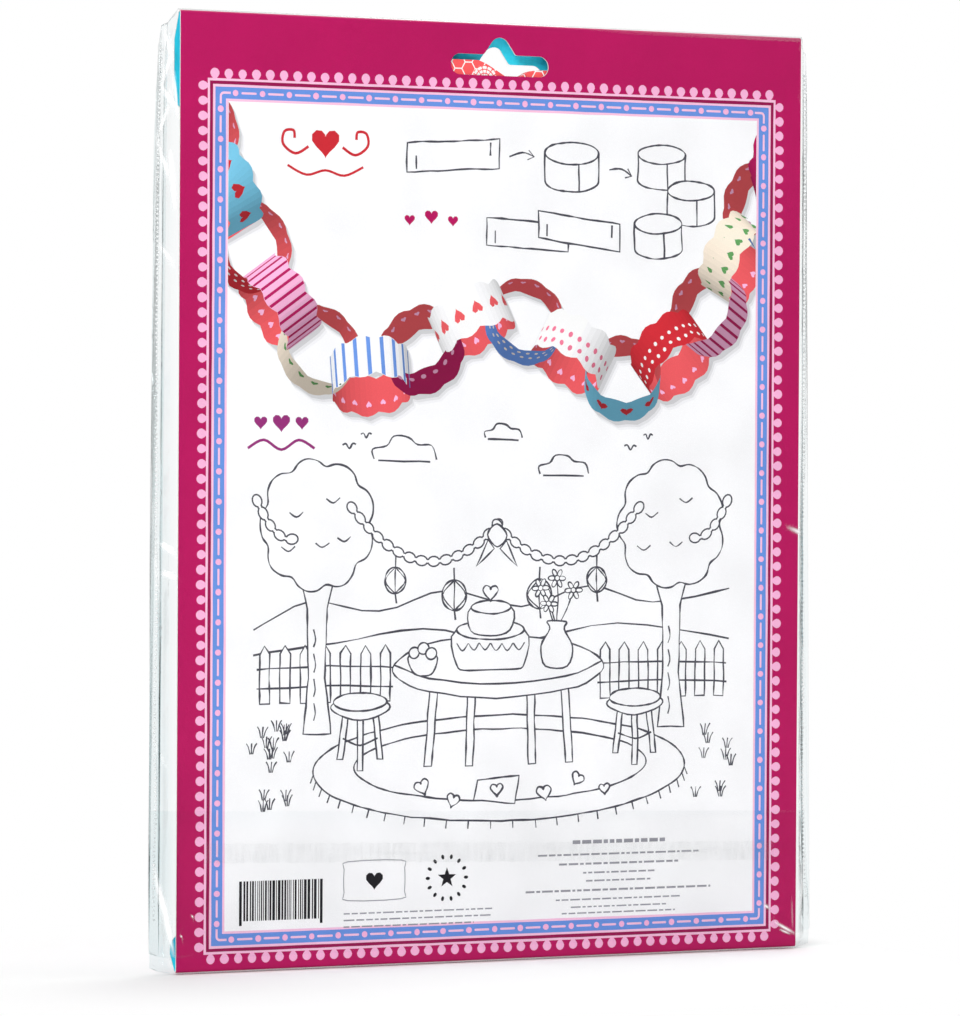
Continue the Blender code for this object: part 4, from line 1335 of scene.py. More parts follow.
# %% Sizes of the film
FILM_CLEARANCE = 0.3 * MM
MARGIN_LEFT = 7.5 * MM
MARGIN_RIGHT = 4 * MM
WELD_LEFT = 3 * MM
WELD_RIGHT = 1.5 * MM
WELD_CORNER_DROP = 3.5 * MM
WELD_CORNER_REACH = 40 * MM
FILM_SLOT_MARGIN = 0.4 * MM
MOUTH_HEIGHT = 4 * MM
FLAP_GAP = 0.4 * MM
FLAP_STEP = 1.2 * MM
FLAP_HEIGHT_LEFT = 46 * MM
FLAP_HEIGHT_RIGHT = 41 * MM
FLAP_INSET = 0.2 * MM
STAND_OFF = FILM_CLEARANCE + 0.05 * MM
FLAP_STAND_OFF = STAND_OFF + 0.1 * MM + FLAP_GAP
BAG_LEFT = -CARD_WIDTH / 2 - MARGIN_LEFT
BAG_RIGHT = CARD_WIDTH / 2 + MARGIN_RIGHT
CARD_EDGE = CARD_WIDTH / 2 + FILM_CLEARANCE


def flap_edge_drop(x):
    """Drop of the flap's slanting upper edge at x."""
    share = x / CARD_WIDTH + 0.5
    return CARD_HEIGHT - FLAP_HEIGHT_LEFT - share * (FLAP_HEIGHT_RIGHT - FLAP_HEIGHT_LEFT)


def film_line():
    """The film's section over the card, from the mouth over the top and round to the flap."""
    stand_off = BOARD / 2 + STAND_OFF
    foot = fold_line(CARD_HEIGHT, -1, CARD_HEIGHT - LIP_BEND, stand_off)
    return [
        (-STAND_OFF, CARD_HEIGHT - MOUTH_HEIGHT),
        *fold_line(0.0, 1, HEADER_BEND, stand_off),
        *reversed(foot),
        (-FLAP_STAND_OFF, CARD_HEIGHT - FOLD_OUTSIDE - FLAP_STEP),
        (-FLAP_STAND_OFF, flap_edge_drop(0.0)),
    ]


over_card = film_line()
film_runs = run_lengths(over_card)
FRONT_TOP = 1 + FOLD_STEPS + 1
FLAP_FOOT = len(film_runs) - 2
mouth_run = film_runs[FRONT_TOP] + CARD_HEIGHT - MOUTH_HEIGHT - over_card[FRONT_TOP][1]
print("film", round((BAG_RIGHT - BAG_LEFT) / MM, 1), "x", round(film_runs[-1] / MM, 1), "mm, flat")

# %% [markdown]
# A kink is a short ridge: the film stands up along a line and falls away within a
# millimetre. Each is given by its two ends on the panel, in mm from its middle and down
# from its top, with its height and its half width. Where kinks lie, extra points are put
# into the sheet, so that the ridge is smooth and its highlight is crisp.

# %% Kinks in the film
KINKS = [
    # leaf, x1, drop1, x2, drop2, height, half width
    ("back", -107.0, 5.0, -104.2, 14.0, 1.0, 0.8),
    ("back", -104.4, 12.0, -106.8, 22.0, 0.9, 0.7),
    ("back", -107.2, 21.0, -103.6, 27.0, 1.0, 0.8),
    ("back", -103.6, 18.0, -102.6, 30.0, 0.6, 0.5),
    ("back", -105.0, 28.0, -107.6, 36.0, 0.8, 0.7),
    ("back", -108.0, 36.0, -104.6, 47.0, 0.7, 0.8),
    ("back", -104.2, 40.0, -103.0, 56.0, 0.4, 0.6),
    ("back", -107.0, 66.0, -103.4, 72.0, 0.4, 0.7),
    ("back", -106.2, 151.0, -102.6, 154.0, 0.7, 0.8),
    ("back", -105.8, 159.5, -102.2, 161.0, 0.7, 0.8),
    ("back", -108.2, 140.0, -106.4, 170.0, 0.5, 1.1),
    ("back", -107.8, 206.0, -104.6, 214.0, 0.4, 0.8),
    ("back", -107.2, 243.0, -103.2, 262.0, 0.7, 1.0),
    ("back", -105.4, 252.0, -102.4, 268.0, 0.6, 0.7),
    ("back", 98.0, 147.0, 104.6, 149.5, 0.5, 0.8),
    ("back", 102.4, 96.0, 104.6, 118.0, 0.4, 0.8),
    ("back", 102.6, 158.0, 104.4, 186.0, 0.4, 0.8),
    ("back", 102.2, 20.0, 104.6, 42.0, 0.4, 0.9),
    ("flap", 93.9, 265.4, 100.4, 268.8, 0.5, 0.55),
    ("flap", 95.6, 267.6, 99.0, 269.0, 0.3, 0.35),
    ("flap", 99.6, 259.0, 99.9, 267.0, 0.12, 0.35),
    ("flap", 90.1, 260.0, 91.6, 261.0, 0.6, 0.55),
    ("flap", 102.6, 262.0, 104.6, 246.0, 0.5, 0.7),
    ("flap", -97.2, 256.6, -96.7, 257.3, 0.28, 0.3),
    ("flap", -100.6, 262.2, -100.1, 262.8, 0.28, 0.28),
    ("flap", 60.0, 243.5, 74.0, 242.6, 0.12, 0.6),
    ("flap", -40.0, 240.6, -22.0, 241.4, 0.1, 0.6),
]
print(len(KINKS), "kinks")


def leaf_of(run):
    """Which part of the bag a run of the flat film belongs to."""
    if run < film_runs[FRONT_TOP] / 2 + film_runs[1] / 2:
        return "back"
    return "front" if run < film_runs[FLAP_FOOT] - FOLD_OUTSIDE * 2 else "flap"


def kink_height(leaf, x, drop):
    """How far the kinks lift the film here, and how white its ridge is, 0 to 1: crease whitening together with a
    painted highlight standing in for the ridge's glint.
    """
    height, ridge_white_and_glint = 0.0, 0.0
    for kink_leaf, ax, ad, bx, bd, rise, half_width in KINKS:
        if kink_leaf != leaf:
            continue
        dx, dd = bx - ax, bd - ad
        share = ((x / MM - ax) * dx + (drop / MM - ad) * dd) / (dx * dx + dd * dd)
        held = min(max(share, 0.0), 1.0)
        away = math.hypot(x / MM - ax - held * dx, drop / MM - ad - held * dd) / half_width
        if away < 4:
            swell = math.exp(-away * away) * (0.55 + 0.45 * math.sin(math.pi * held))
            height += rise * swell
            # A ridge's white: partly crease whitening, partly a painted highlight in place of the glint a sharp ridge
            # catches.
            ridge_white_and_glint = max(ridge_white_and_glint, swell * min(1.0, 1.5 * rise / half_width))
    return height * MM, ridge_white_and_glint


# %% Slack, waves and pulled corners
def smooth(low, high, value):
    """Smooth step from 0 at low to 1 at high."""
    share = min(max((value - low) / (high - low), 0.0), 1.0)
    return share * share * (3 - 2 * share)


def wave(x, drop, length_x, length_y, seed):
    """Soft noise between about -1 and 1, at its own scale each way."""
    return noise.noise(Vector((x / length_x, drop / length_y, seed))) * 1.6


def film_point(x, run):
    """Where a point of the flat film lies in the bag, and how white a crease has made it, as crease whitening and a
    painted highlight.
    """
    depth, drop = along(over_card, film_runs, run)
    leaf = leaf_of(run)
    outward = 1.0 if leaf == "front" else -1.0
    if x < 0:
        out, room, weld = -CARD_EDGE - x, MARGIN_LEFT - FILM_CLEARANCE, WELD_LEFT
    else:
        out, room, weld = x - CARD_EDGE, MARGIN_RIGHT - FILM_CLEARANCE, WELD_RIGHT
    share = min(max(out / (room - weld), 0.0), 1.0)
    edge = min(max(out / room, 0.0), 1.0)
    squeeze = 1 - share * share * (3 - 2 * share) * 0.975
    middle = CARD_DEPTH / 2
    flap_lift = min(0.0, depth + STAND_OFF)
    flat_depth = middle + (depth - flap_lift - middle) * squeeze + flap_lift * (1 - 0.6 * share)

    from_top, from_foot = drop + STAND_OFF, CARD_HEIGHT + STAND_OFF - drop
    top_corner = max(0.0, 1 - from_top / WELD_CORNER_REACH)
    if from_top < from_foot:
        reach = FOLD_OUTSIDE + STAND_OFF
        tuck = min(from_top, reach) * squeeze + max(0.0, from_top - reach) if share else from_top
        drop = tuck - STAND_OFF + (WELD_CORNER_DROP * top_corner * share if share else 0.0)
        drop += 1.6 * MM * edge * edge * max(0.0, 1 - from_top / (14 * MM))
    else:
        rise = (2.2 if x < 0 else 1.2) * MM * (1 - math.sqrt(1 - 0.98 * edge * edge)) * max(0.0, 1 - from_foot / (18 * MM))
        drop -= rise + 0.3 * MM * share * max(0.0, 1 - from_foot / WELD_CORNER_REACH)
    pulled = (2.6 if x < 0 else 1.0) * MM * top_corner ** 1.5 * edge
    pulled -= (0.2 if x < 0 else 2.0) * MM * edge * smooth(222 * MM, 270 * MM, drop)
    pulled += 0.35 * MM * edge * wave(0.0, drop, 1.0, 26 * MM, 3.0 if x < 0 else 5.0)
    side = -1.0 if x < 0 else 1.0

    height, crease_white_and_glint = kink_height(leaf, x, drop)
    off_folds = smooth(0.0, 5 * MM, min(from_top, from_foot))
    calm = 0.09 * wave(x, drop, 30 * MM, 46 * MM, 11.0 if leaf == "back" else 17.0)
    calm += 0.03 * wave(x, drop, 9 * MM, 13 * MM, 23.0)
    slack = share * (0.75 * wave(x, drop, 40 * MM, 24 * MM, 31.0) + 0.32 * wave(x, drop, 7 * MM, 9 * MM, 37.0))
    pucker = 0.18 * share * (1 - edge) * wave(x, drop, 20 * MM, 3.4 * MM, 41.0)
    lifted = flat_depth + outward * (calm * off_folds * (1 - share) * MM + height * (1 - 0.5 * edge))
    lifted += (slack + pucker * outward) * MM * off_folds
    lowest = -FLAP_STAND_OFF - 0.12 * MM
    lifted = min(max(lifted, lowest), CARD_DEPTH + STAND_OFF + 0.12 * MM)
    return in_frame(x - side * pulled, lifted, drop), crease_white_and_glint ** 2


# %% Points and cuts of the film
def film_spots():
    """Points inside the flat film: open over the card, close in the margins and at kinks."""
    spots = []
    coarse, fine = 3.2 * MM, 0.85 * MM
    for low, high, pitch in ((BAG_LEFT, -CARD_EDGE, fine), (-CARD_EDGE, CARD_EDGE, coarse),
                             (CARD_EDGE, BAG_RIGHT, fine)):
        columns = round((high - low) / pitch)
        step = pitch * (1.6 if pitch == fine else 1.0)
        rows = int(film_runs[-1] / step)
        for i in range(columns):
            for j in range(rows):
                x = low + (i + 0.5 + 0.3 * (j % 2 - 0.5)) * (high - low) / columns
                spots.append((x, (j + 0.5) * step))
    for leaf, ax, ad, bx, bd, _, half_width in KINKS:
        length = math.hypot(bx - ax, bd - ad)
        across = Vector((-(bd - ad), bx - ax)).normalized()
        for i in range(int(length / half_width * 1.6) + 3):
            for offset in (-2.0, -1.4, -0.9, -0.45, 0.0, 0.45, 0.9, 1.4, 2.0):
                share = (i - 1) * half_width / 1.6 / length
                x = (ax + (bx - ax) * share + across.x * offset * half_width) * MM
                drop = (ad + (bd - ad) * share + across.y * offset * half_width) * MM
                foot = film_runs[FLAP_FOOT] + over_card[FLAP_FOOT][1]
                spots.append((x, foot - drop if leaf == "flap" else over_card[0][1] - drop))
    return spots


flap_left, flap_right = BAG_LEFT + FLAP_INSET, BAG_RIGHT - FLAP_INSET
flap_foot_run = film_runs[FLAP_FOOT] + over_card[FLAP_FOOT][1]
film_outline = [
    (BAG_LEFT, 0.0),
    (BAG_RIGHT, 0.0),
    (BAG_RIGHT, mouth_run),
    (flap_right, mouth_run + FLAP_INSET),
    (flap_right, flap_foot_run - flap_edge_drop(flap_right)),
    (flap_left, flap_foot_run - flap_edge_drop(flap_left)),
    (flap_left, mouth_run + FLAP_INSET),
    (BAG_LEFT, mouth_run),
]
film_slots = [
    hang_slot(over_card[0][1] - SLOT_BAR_DROP, 1, FILM_SLOT_MARGIN),
    hang_slot(film_runs[FRONT_TOP] + SLOT_BAR_DROP + HEADER_SLOT_DROP - over_card[FRONT_TOP][1], -1,
              FILM_SLOT_MARGIN),
]
film_creases = [((-1.0, run), (1.0, run)) for run in (*film_runs[1:-1], mouth_run)]
film_creases += [((x, -1.0), (x, 1.0)) for x in (-CARD_EDGE, CARD_EDGE, BAG_LEFT + WELD_LEFT,
                                                 BAG_RIGHT - WELD_RIGHT)]
found, kept, _ = cut_blank(film_outline, film_slots, film_creases, (), film_spots())
print("film cut into", len(kept), "triangles")

# %% Lay the film
shape = bmesh.new()
slack_layer = shape.verts.layers.float.new("slack")
crease_white_and_glint_layer = shape.verts.layers.float.new("crease_white_and_glint")
film_verts = {}
for i in sorted({i for triangle in kept for i in triangle}):
    x, run = found[i]
    spot, crease_white_and_glint = film_point(x, run)
    film_verts[i] = shape.verts.new(spot)
    deep = 0.4 + 0.6 * smooth(60 * MM, 190 * MM, TOP - spot[2])
    film_verts[i][slack_layer] = smooth(-1.5 * MM, 2.5 * MM, abs(x) - CARD_EDGE) * deep * (1 if x < 0 else 0.6)
    # Whiteness of kinks: crease whitening with a painted highlight, read by the film's finish.
    film_verts[i][crease_white_and_glint_layer] = crease_white_and_glint
for triangle in kept:
    shape.faces.new([film_verts[i] for i in triangle])
for edge_x in (BAG_LEFT, BAG_RIGHT):
    seam = [i for i in film_verts if abs(found[i][0] - edge_x) < 1e-6 and found[i][1] < mouth_run + 1e-6]
    seam.sort(key=lambda i: found[i][1])
    weld = shape.faces.new([film_verts[i] for i in seam])
    bmesh.ops.triangulate(shape, faces=[weld], ngon_method="EAR_CLIP")
bmesh.ops.recalc_face_normals(shape, faces=shape.faces)
film_mesh = bpy.data.meshes.new("clear_bag")
shape.to_mesh(film_mesh)
shape.free()
film_mesh.shade_smooth()
bag = new_object("clear_bag", film_mesh)
print("film:", len(film_mesh.polygons), "faces")

# %% [markdown]
# Clear film lets nearly all light through and gives back a few hundredths of it as a
# sharp reflection, more at a glancing angle. A mix of a clear and a glossy surface by
# that share does this, and unlike refraction it leaves the shadows under the film soft.
# The folded margins look greener and hazier, because there the eye looks through more
# film; the slack attribute says where. A sharp kink turns the film white along its ridge,
# partly as crease whitening and partly as a painted highlight in place of the glint the
# ridge would catch; an attribute of the film's points says where that is.

# %% Clear film finish
CLEAR_OVER_CARD = (0.998, 0.999, 0.999, 1.0)
CLEAR_IN_MARGIN = (0.925, 0.955, 0.96, 1.0)
EDGE_ON = (0.93, 0.94, 0.94, 1.0)
FILM_GLOSS = 0.013
WELD_FROST = 0.55


def clear_finish(name, gloss, roughness, frost=0.0):
    """A clear sheet finish: tint by slackness, gloss by the angle it is seen at, white in creases as crease whitening
    and a painted highlight.
    """
    finish, tree, output = new_material(name)
    place = object_place(tree)
    slack = add(tree, "ShaderNodeAttribute", attribute_name="slack").outputs["Fac"]
    haze = grain(tree, place, 0.05, 1.0, 0.75, 1.15)
    amount = add(tree, "ShaderNodeMath", {0: slack, 1: haze}, operation="MULTIPLY", use_clamp=True)
    tint = add(tree, "ShaderNodeMix", {"Factor": amount.outputs[0], 6: CLEAR_OVER_CARD, 7: CLEAR_IN_MARGIN},
               data_type="RGBA")
    steep = add(tree, "ShaderNodeLayerWeight", {"Blend": 0.5})
    edge_on = add(tree, "ShaderNodeMath", {0: steep.outputs["Facing"], 1: 2.2}, operation="POWER")
    dimmed = add(tree, "ShaderNodeMix", {"Factor": edge_on.outputs[0], 6: tint.outputs[2], 7: EDGE_ON},
                 data_type="RGBA")
    clear = add(tree, "ShaderNodeBsdfTransparent", {"Color": dimmed.outputs[2]})
    mirror = add(tree, "ShaderNodeBsdfGlossy", {"Color": (1, 1, 1, 1), "Roughness": roughness})
    glance = add(tree, "ShaderNodeMath", {0: steep.outputs["Facing"], 1: 3.0}, operation="POWER")
    share = add(tree, "ShaderNodeMapRange", {"Value": glance.outputs[0], "To Min": gloss, "To Max": 0.5})
    blend = add(tree, "ShaderNodeMixShader", {"Fac": share.outputs[0], 1: clear.outputs[0], 2: mirror.outputs[0]})
    # White at kinks: crease whitening and a painted highlight in place of their glints; frost whitens the weld beads.
    marks = add(tree, "ShaderNodeAttribute", attribute_name="crease_white_and_glint").outputs["Fac"]
    milky = add(tree, "ShaderNodeBsdfDiffuse", {"Color": (0.96, 0.97, 0.97, 1.0)})
    whiter = add(tree, "ShaderNodeMath", {0: marks, 1: frost}, operation="MAXIMUM")
    ridge_white_and_glint = add(tree, "ShaderNodeMixShader", {"Fac": whiter.outputs[0], 1: blend.outputs[0], 2: milky.outputs[0]})
    tree.links.new(ridge_white_and_glint.outputs[0], output.inputs["Surface"])
    return finish


clear_film = clear_finish("clear_film", FILM_GLOSS, 0.09)
weld_film = clear_finish("weld_film", FILM_GLOSS, 0.2, frost=WELD_FROST)
film_mesh.materials.append(clear_film)
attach(bag, "root")
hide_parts("film_bag")
print("film finish:", clear_film.name)

# %% [markdown]
# A bag like this is closed at its sides by a hot bar, which leaves a row of fine dimples
# along each weld. They repeat, so Geometry Nodes set them along the weld's own line, with
# small differences in size. They are lens-shaped beads of the film itself.

# %% Weld beads
bead_tree, given, result = new_geometry_tree("beads_along_a_line", {
    "Pitch": ("Float", 1.3 * MM),
    "Size": ("Float", 0.42 * MM),
    "Flatness": ("Float", 0.4),
    "Unevenness": ("Float", 0.25),
    "Seed": ("Int", 4),
    "Material": ("Material", None),
})
line = add(bead_tree, "GeometryNodeMeshToCurve", {"Mesh": given["Geometry"]})
spots = add(bead_tree, "GeometryNodeCurveToPoints", {"Curve": line.outputs[0], "Length": given["Pitch"]},
            mode="LENGTH")
bead = add(bead_tree, "GeometryNodeMeshIcoSphere", {"Radius": 1.0, "Subdivisions": 2})
depth = add(bead_tree, "ShaderNodeMath", {0: given["Size"], 1: given["Flatness"]}, operation="MULTIPLY")
form = add(bead_tree, "ShaderNodeCombineXYZ", {0: given["Size"], 1: depth.outputs[0], 2: given["Size"]})
lens = add(bead_tree, "GeometryNodeTransform", {"Geometry": bead.outputs["Mesh"], "Scale": form.outputs[0]})
less = add(bead_tree, "ShaderNodeMath", {0: 1.0, 1: given["Unevenness"]}, operation="SUBTRACT")
more = add(bead_tree, "ShaderNodeMath", {0: 1.0, 1: given["Unevenness"]}, operation="ADD")
size = add(bead_tree, "FunctionNodeRandomValue", {0: less.outputs[0], 1: more.outputs[0], 8: given["Seed"]},
           data_type="FLOAT_VECTOR")
beads = add(bead_tree, "GeometryNodeInstanceOnPoints", {"Points": spots.outputs[0], "Instance": lens.outputs[0],
            "Scale": size.outputs[0]})
real = add(bead_tree, "GeometryNodeRealizeInstances", {0: beads.outputs[0]})
dressed = add(bead_tree, "GeometryNodeSetMaterial", {0: real.outputs[0], "Material": given["Material"]})
bead_tree.links.new(dressed.outputs[0], result.inputs[0])

for side, edge_x, weld in (("left", BAG_LEFT, WELD_LEFT), ("right", BAG_RIGHT, WELD_RIGHT)):
    weld_x = edge_x - math.copysign(weld * 0.55, edge_x)
    line = [film_point(weld_x, mouth_run * (0.02 + 0.46 * i / 160))[0] for i in range(161)]
    row = grown(bead_tree, line, {"Material": weld_film, "Seed": 4 if side == "left" else 9}, "weld_beads_" + side)
    row.shade_smooth()
    welded = new_object("weld_beads_" + side, row)
    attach(welded, "root")
    print(side, "weld:", len(row.polygons), "faces")

# %% [markdown]
# The sheets in the pack are printed all over. What shows through the hang slot is the
# waste above the strips: coral with a white net of hexagons and a lace round. Below it
# each strip has its own plain pattern. The net is worked out from the distance to the
# nearest cell edge, and the cut edges of the stock stay white.

# %% Strip sheet finish
SHEET_TOP_DROP = 10.7
SHEET_FOOT_DROP = 266.7
STRIP_FOOT = 6.0
STRIP_WIDTH = 29.5
NET_CELL = 3.8
NET_LINE = 0.17
LACE = (-4.6, 16.4, 4.4)


def calc(tree, operation, *values):
    """One step of arithmetic on sockets and numbers."""
    return add(tree, "ShaderNodeMath", dict(enumerate(values)), operation=operation).outputs[0]


def mixed(tree, factor, low, high):
    """One colour over another by a factor."""
    return add(tree, "ShaderNodeMix", {"Factor": factor, 6: low, 7: high}, data_type="RGBA").outputs[2]


def vector_calc(tree, operation, *values, output=0):
    """One step of arithmetic on vectors."""
    return add(tree, "ShaderNodeVectorMath", dict(enumerate(values)), operation=operation).outputs[output]


stock, tree, output = new_material("strip_stock")
place = object_place(tree)
part = add(tree, "ShaderNodeSeparateXYZ", {0: place})
x, drop = part.outputs["X"], calc(tree, "SUBTRACT", TOP / MM, part.outputs["Z"])
flat = add(tree, "ShaderNodeCombineXYZ", {0: x, 1: drop}).outputs[0]
half_cell = Vector((0.5, 0.8660254, 1.0)) * NET_CELL
to_next = Vector((half_cell.x, half_cell.y, 0.0))
turned = add(tree, "ShaderNodeCombineXYZ", {0: drop, 1: x}).outputs[0]
first = vector_calc(tree, "WRAP", turned, half_cell, -half_cell)
second = vector_calc(tree, "WRAP", vector_calc(tree, "ADD", turned, to_next), half_cell, -half_cell)
nearer = calc(tree, "LESS_THAN", vector_calc(tree, "LENGTH", second, output=1),
              vector_calc(tree, "LENGTH", first, output=1))
cell = add(tree, "ShaderNodeMix", {"Factor": nearer, 4: first, 5: second}, data_type="VECTOR").outputs[1]
cell = vector_calc(tree, "ABSOLUTE", cell)
slanted = vector_calc(tree, "DOT_PRODUCT", cell, Vector((0.5, 0.8660254, 0.0)), output=1)
side = add(tree, "ShaderNodeSeparateXYZ", {0: cell}).outputs["X"]
hexagon = calc(tree, "MAXIMUM", side, slanted)
net = calc(tree, "GREATER_THAN", hexagon, NET_CELL / 2 - NET_LINE)

coral, white = (*rgb(250, 92, 94), 1.0), (*rgb(250, 248, 246), 1.0)
from_lace = vector_calc(tree, "SUBTRACT", flat, Vector((LACE[0], LACE[1], 0.0)))
away = vector_calc(tree, "LENGTH", from_lace, output=1)
lace_part = add(tree, "ShaderNodeSeparateXYZ", {0: from_lace})
angle = calc(tree, "ARCTAN2", lace_part.outputs["Y"], lace_part.outputs["X"])
petal = calc(tree, "ABSOLUTE", calc(tree, "SINE", calc(tree, "MULTIPLY", angle, 7.0)))
rim = calc(tree, "MULTIPLY_ADD", petal, 0.8, LACE[2] - 0.8)
in_lace = calc(tree, "LESS_THAN", away, rim)
rings = calc(tree, "GREATER_THAN", calc(tree, "SINE", calc(tree, "MULTIPLY", away, 5.6)), -0.7)
spokes = calc(tree, "GREATER_THAN", petal, 0.3)
in_net = calc(tree, "MULTIPLY", net, calc(tree, "SUBTRACT", 1.0, in_lace))
in_rings = calc(tree, "MULTIPLY", calc(tree, "MULTIPLY", rings, spokes), in_lace)
waste = mixed(tree, calc(tree, "MAXIMUM", in_net, in_rings), coral, white)

rise = calc(tree, "SUBTRACT", SHEET_FOOT_DROP - STRIP_FOOT, drop)
band = calc(tree, "FLOOR", calc(tree, "DIVIDE", rise, STRIP_WIDTH))
in_band = calc(tree, "WRAP", rise, STRIP_WIDTH, 0.0)
STRIP_COLOURS = ("white", "sky", "rose", "cream", "coral", "blue", "picot_pink", "red")
ramp = add(tree, "ShaderNodeValToRGB", {"Fac": calc(tree, "DIVIDE", calc(tree, "ADD", band, 0.5), 8.0)})
ramp.color_ramp.interpolation = "CONSTANT"
for i, label in enumerate(STRIP_COLOURS):
    stop = ramp.color_ramp.elements[i] if i < 2 else ramp.color_ramp.elements.new(i / 8)
    stop.position = i / 8
    stop.color = (*INK[label], 1.0)
dot_cell = Vector((2.4, 2.4, 2.4))
dots = calc(tree, "LESS_THAN", vector_calc(tree, "LENGTH", vector_calc(tree, "WRAP", flat, dot_cell, -dot_cell),
                                           output=1), 1.1)
trim = calc(tree, "MULTIPLY_ADD", calc(tree, "ABSOLUTE", calc(tree, "SINE", calc(tree, "MULTIPLY", x, 0.52))),
            1.6, 1.2)
in_trim = calc(tree, "LESS_THAN", calc(tree, "PINGPONG", in_band, STRIP_WIDTH / 2), trim)
strips = mixed(tree, dots, ramp.outputs["Color"], white)
strips = mixed(tree, in_trim, strips, (*INK["magenta"], 1.0))
on_strips = calc(tree, "LESS_THAN", band, 7.5)
print_colour = mixed(tree, on_strips, waste, strips)
facing = vector_calc(tree, "ABSOLUTE", add(tree, "ShaderNodeTexCoord").outputs["Normal"])
on_face = calc(tree, "GREATER_THAN", add(tree, "ShaderNodeSeparateXYZ", {0: facing}).outputs["Y"], 0.6)
stock_colour = mixed(tree, on_face, (*rgb(246, 244, 240), 1.0), print_colour)
node = shader(tree, output, Base_Color=tinted(tree, stock_colour, grain(tree, place, 0.8, 4.0, 0.94, 1.02)),
              Roughness=grain(tree, place, 0.9, 3.0, 0.55, 0.7), Specular_IOR_Level=0.3)
bump(tree, node, grain(tree, place, 2.4, 4.0), 0.02 * MM)
print("stock finish:", stock.name)

# %% [markdown]
# Each sheet is laid again with its own outline. The photo shows that its top edge dips to
# a lopsided notch behind the hang slot: a long slope on the left, and on the right a low
# shoulder. The strips are cut all round but for a nick in the middle of each long side,
# so that they stay in the sheet until they are pushed out.

# %% Notched sheets with their strips
SHEET_SIDE = 98.0
STRIP_END = 92.0
KERF = 0.3
NICK = 0.8
NOTCH = [(25.0, 10.7), (18.0, 12.7), (12.0, 13.1), (9.3, 13.7), (7.2, 14.9), (5.4, 15.7), (3.6, 15.6),
         (1.6, 14.8), (-1.2, 13.2), (-4.0, 11.7), (-6.6, 10.7)]


def strip_kerfs():
    """The narrow cuts round the strips, as closed outlines in metres, drop downward."""
    kerfs = []

    def cut(left, right, low, high):
        kerfs.append([(x * MM, y * MM) for x, y in ((left, low), (right, low), (right, high), (left, high))])

    for i in range(9):
        line = SHEET_FOOT_DROP - STRIP_FOOT - i * STRIP_WIDTH
        for side in (-1, 1):
            near, far = sorted((side * NICK, side * (STRIP_END - NICK)))
            cut(near, far, line - KERF, line)
            if i:
                near, far = sorted((side * STRIP_END, side * (STRIP_END + KERF)))
                cut(near, far, line + NICK, line + STRIP_WIDTH - KERF - NICK)
    return kerfs


def sheet_outline(shift):
    """Outline of a sheet in metres, its notch moved a little aside."""
    corners = [(-SHEET_SIDE, SHEET_TOP_DROP), (-SHEET_SIDE, SHEET_FOOT_DROP), (SHEET_SIDE, SHEET_FOOT_DROP),
               (SHEET_SIDE, SHEET_TOP_DROP)]
    notch = [(x + shift, y) for x, y in spline(NOTCH, 3)]
    return [(x * MM, y * MM) for x, y in corners + notch]


def build_sheet(name, low, high, shift):
    """One sheet of stock between two depths, in metres, with its cuts through it."""
    outline, kerfs = sheet_outline(shift), strip_kerfs()
    found, kept, _ = cut_blank(outline, kerfs, ())
    shape = bmesh.new()
    skins = []
    for y in (low, high):
        skins.append({i: shape.verts.new((found[i][0], y, TOP - found[i][1])) for t in kept for i in t})
    for a, b, c in kept:
        shape.faces.new([skins[0][i] for i in (a, b, c)])
        shape.faces.new([skins[1][i] for i in (c, b, a)])
    for a, b in rim_edges(kept):
        shape.faces.new([skins[0][b], skins[0][a], skins[1][a], skins[1][b]])
    bmesh.ops.recalc_face_normals(shape, faces=shape.faces)
    mesh = bpy.data.meshes.new(name)
    shape.to_mesh(mesh)
    shape.free()
    mesh.materials.append(stock)
    return new_object(name, mesh)


for i in range(1, 7):
    low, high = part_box(f"strip_sheet_{i}")
    sheet = build_sheet(f"notched_sheet_{i}", low.y, high.y, (0.0, 0.25, -0.1, 0.35, 0.1, 0.3)[i - 1])
    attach(sheet, "root")
    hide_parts(f"strip_sheet_{i}")
    print(sheet.name, len(sheet.data.polygons), "faces")

# %% [markdown]
# The flap is held by a stripe of clear adhesive between two layers of film. Where it has
# wetted the film it all but vanishes; where it hasn't, it is faintly cloudy, with fine
# lines across it from being pressed down.

# %% Adhesive stripe
ADHESIVE_BELOW_EDGE = 9 * MM
ADHESIVE_WIDTH = 6 * MM
ADHESIVE_INSET = 8 * MM
glue, tree, output = new_material("adhesive")
place = object_place(tree)
wetted = grain(tree, object_place(tree, (0.5, 1.0, 1.6)), 0.11, 4.0, 0.0, 1.0)
fine = grain(tree, object_place(tree, (1.0, 1.0, 0.15)), 0.8, 3.0, 0.0, 1.0)
cloud = calc(tree, "MULTIPLY", wetted, fine)
tint = mixed(tree, cloud, (0.997, 0.998, 0.998, 1.0), (0.98, 0.984, 0.984, 1.0))
clear = add(tree, "ShaderNodeBsdfTransparent", {"Color": tint})
mirror = add(tree, "ShaderNodeBsdfGlossy", {"Color": (1, 1, 1, 1), "Roughness": 0.3})
lift = add(tree, "ShaderNodeBump", {"Height": wetted, "Distance": 0.03 * MM})
tree.links.new(lift.outputs[0], mirror.inputs["Normal"])
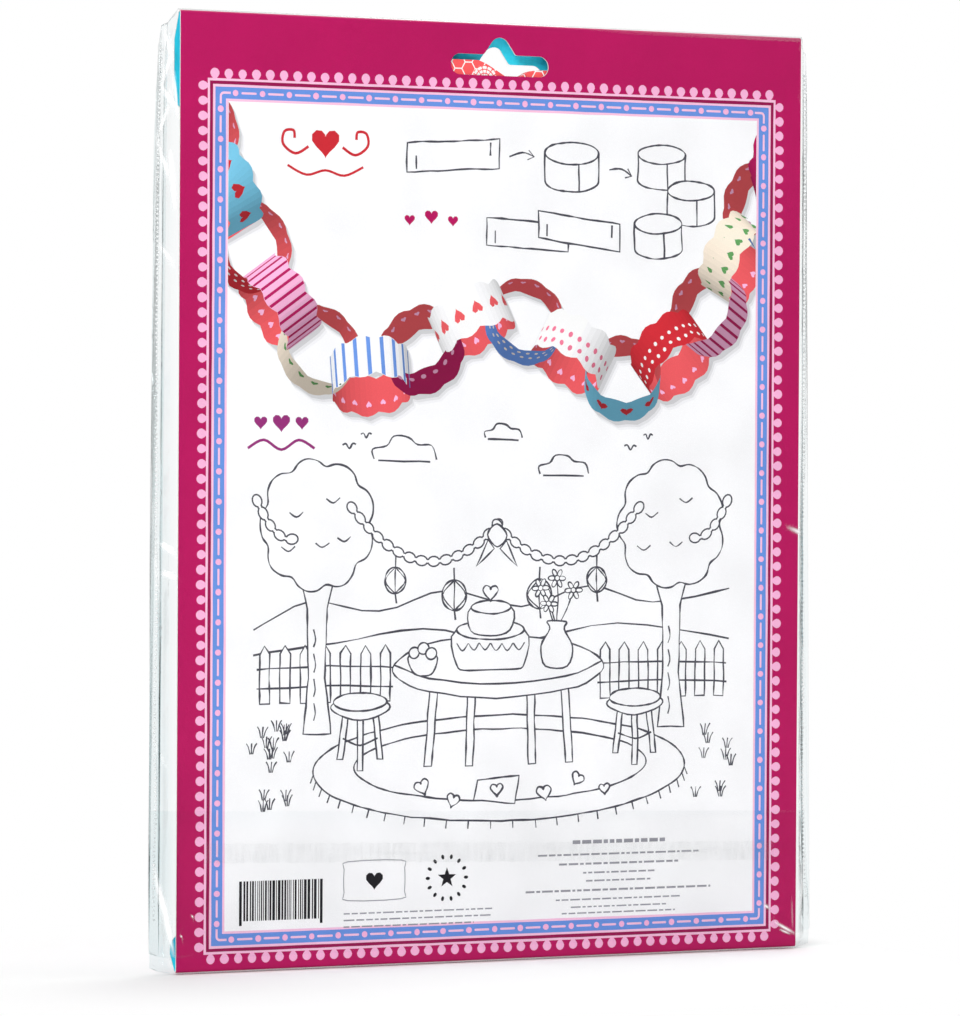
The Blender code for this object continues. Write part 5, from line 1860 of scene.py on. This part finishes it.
share = calc(tree, "MULTIPLY_ADD", cloud, 0.05, 0.004)
blend = add(tree, "ShaderNodeMixShader", {"Fac": share, 1: clear.outputs[0], 2: mirror.outputs[0]})
milky = add(tree, "ShaderNodeBsdfDiffuse", {"Color": (0.95, 0.95, 0.95, 1.0)})
clouded = calc(tree, "MULTIPLY", calc(tree, "POWER", cloud, 1.5), 0.14)
stripe_finish = add(tree, "ShaderNodeMixShader", {"Fac": clouded, 1: blend.outputs[0], 2: milky.outputs[0]})
tree.links.new(stripe_finish.outputs[0], output.inputs["Surface"])

glue_low, glue_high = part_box("flap_adhesive")
glue_depth = (glue_low.y + glue_high.y) / 2 - FRONT
shape = bmesh.new()
rows = []
for row in range(5):
    across = row / 4
    edge = []
    for i in range(241):
        x = (i / 240 - 0.5) * (CARD_WIDTH - 2 * ADHESIVE_INSET)
        middle = flap_edge_drop(x) + ADHESIVE_BELOW_EDGE + ADHESIVE_WIDTH / 2
        ragged = 0.22 * MM * wave(x, across * 40 * MM, 3.5 * MM, 10 * MM, 51.0) * abs(2 * across - 1)
        drop = middle + (across - 0.5) * (ADHESIVE_WIDTH - 0.4 * MM) + ragged
        ripple = 0.03 * MM * wave(x, drop, 5 * MM, 3 * MM, 57.0)
        edge.append(shape.verts.new(in_frame(x, glue_depth + ripple, drop)))
    rows.append(edge)
for upper, lower in zip(rows, rows[1:]):
    for i in range(240):
        shape.faces.new([upper[i], lower[i], lower[i + 1], upper[i + 1]])
glue_mesh = bpy.data.meshes.new("adhesive_stripe")
shape.to_mesh(glue_mesh)
shape.free()
glue_mesh.shade_smooth()
glue_mesh.materials.append(glue)
stripe = new_object("adhesive_stripe", glue_mesh)
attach(stripe, "root")
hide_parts("flap_adhesive")
print("adhesive stripe:", len(glue_mesh.polygons), "faces, normal", [round(c, 2) for c in glue_mesh.polygons[0].normal])

visual_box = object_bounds()
size = {"cad": [list(c) for c in cad_box], "visual": [list(c) for c in visual_box]}
print("visual", [round((h - l) / MM, 2) for l, h in zip(*visual_box)], "mm")
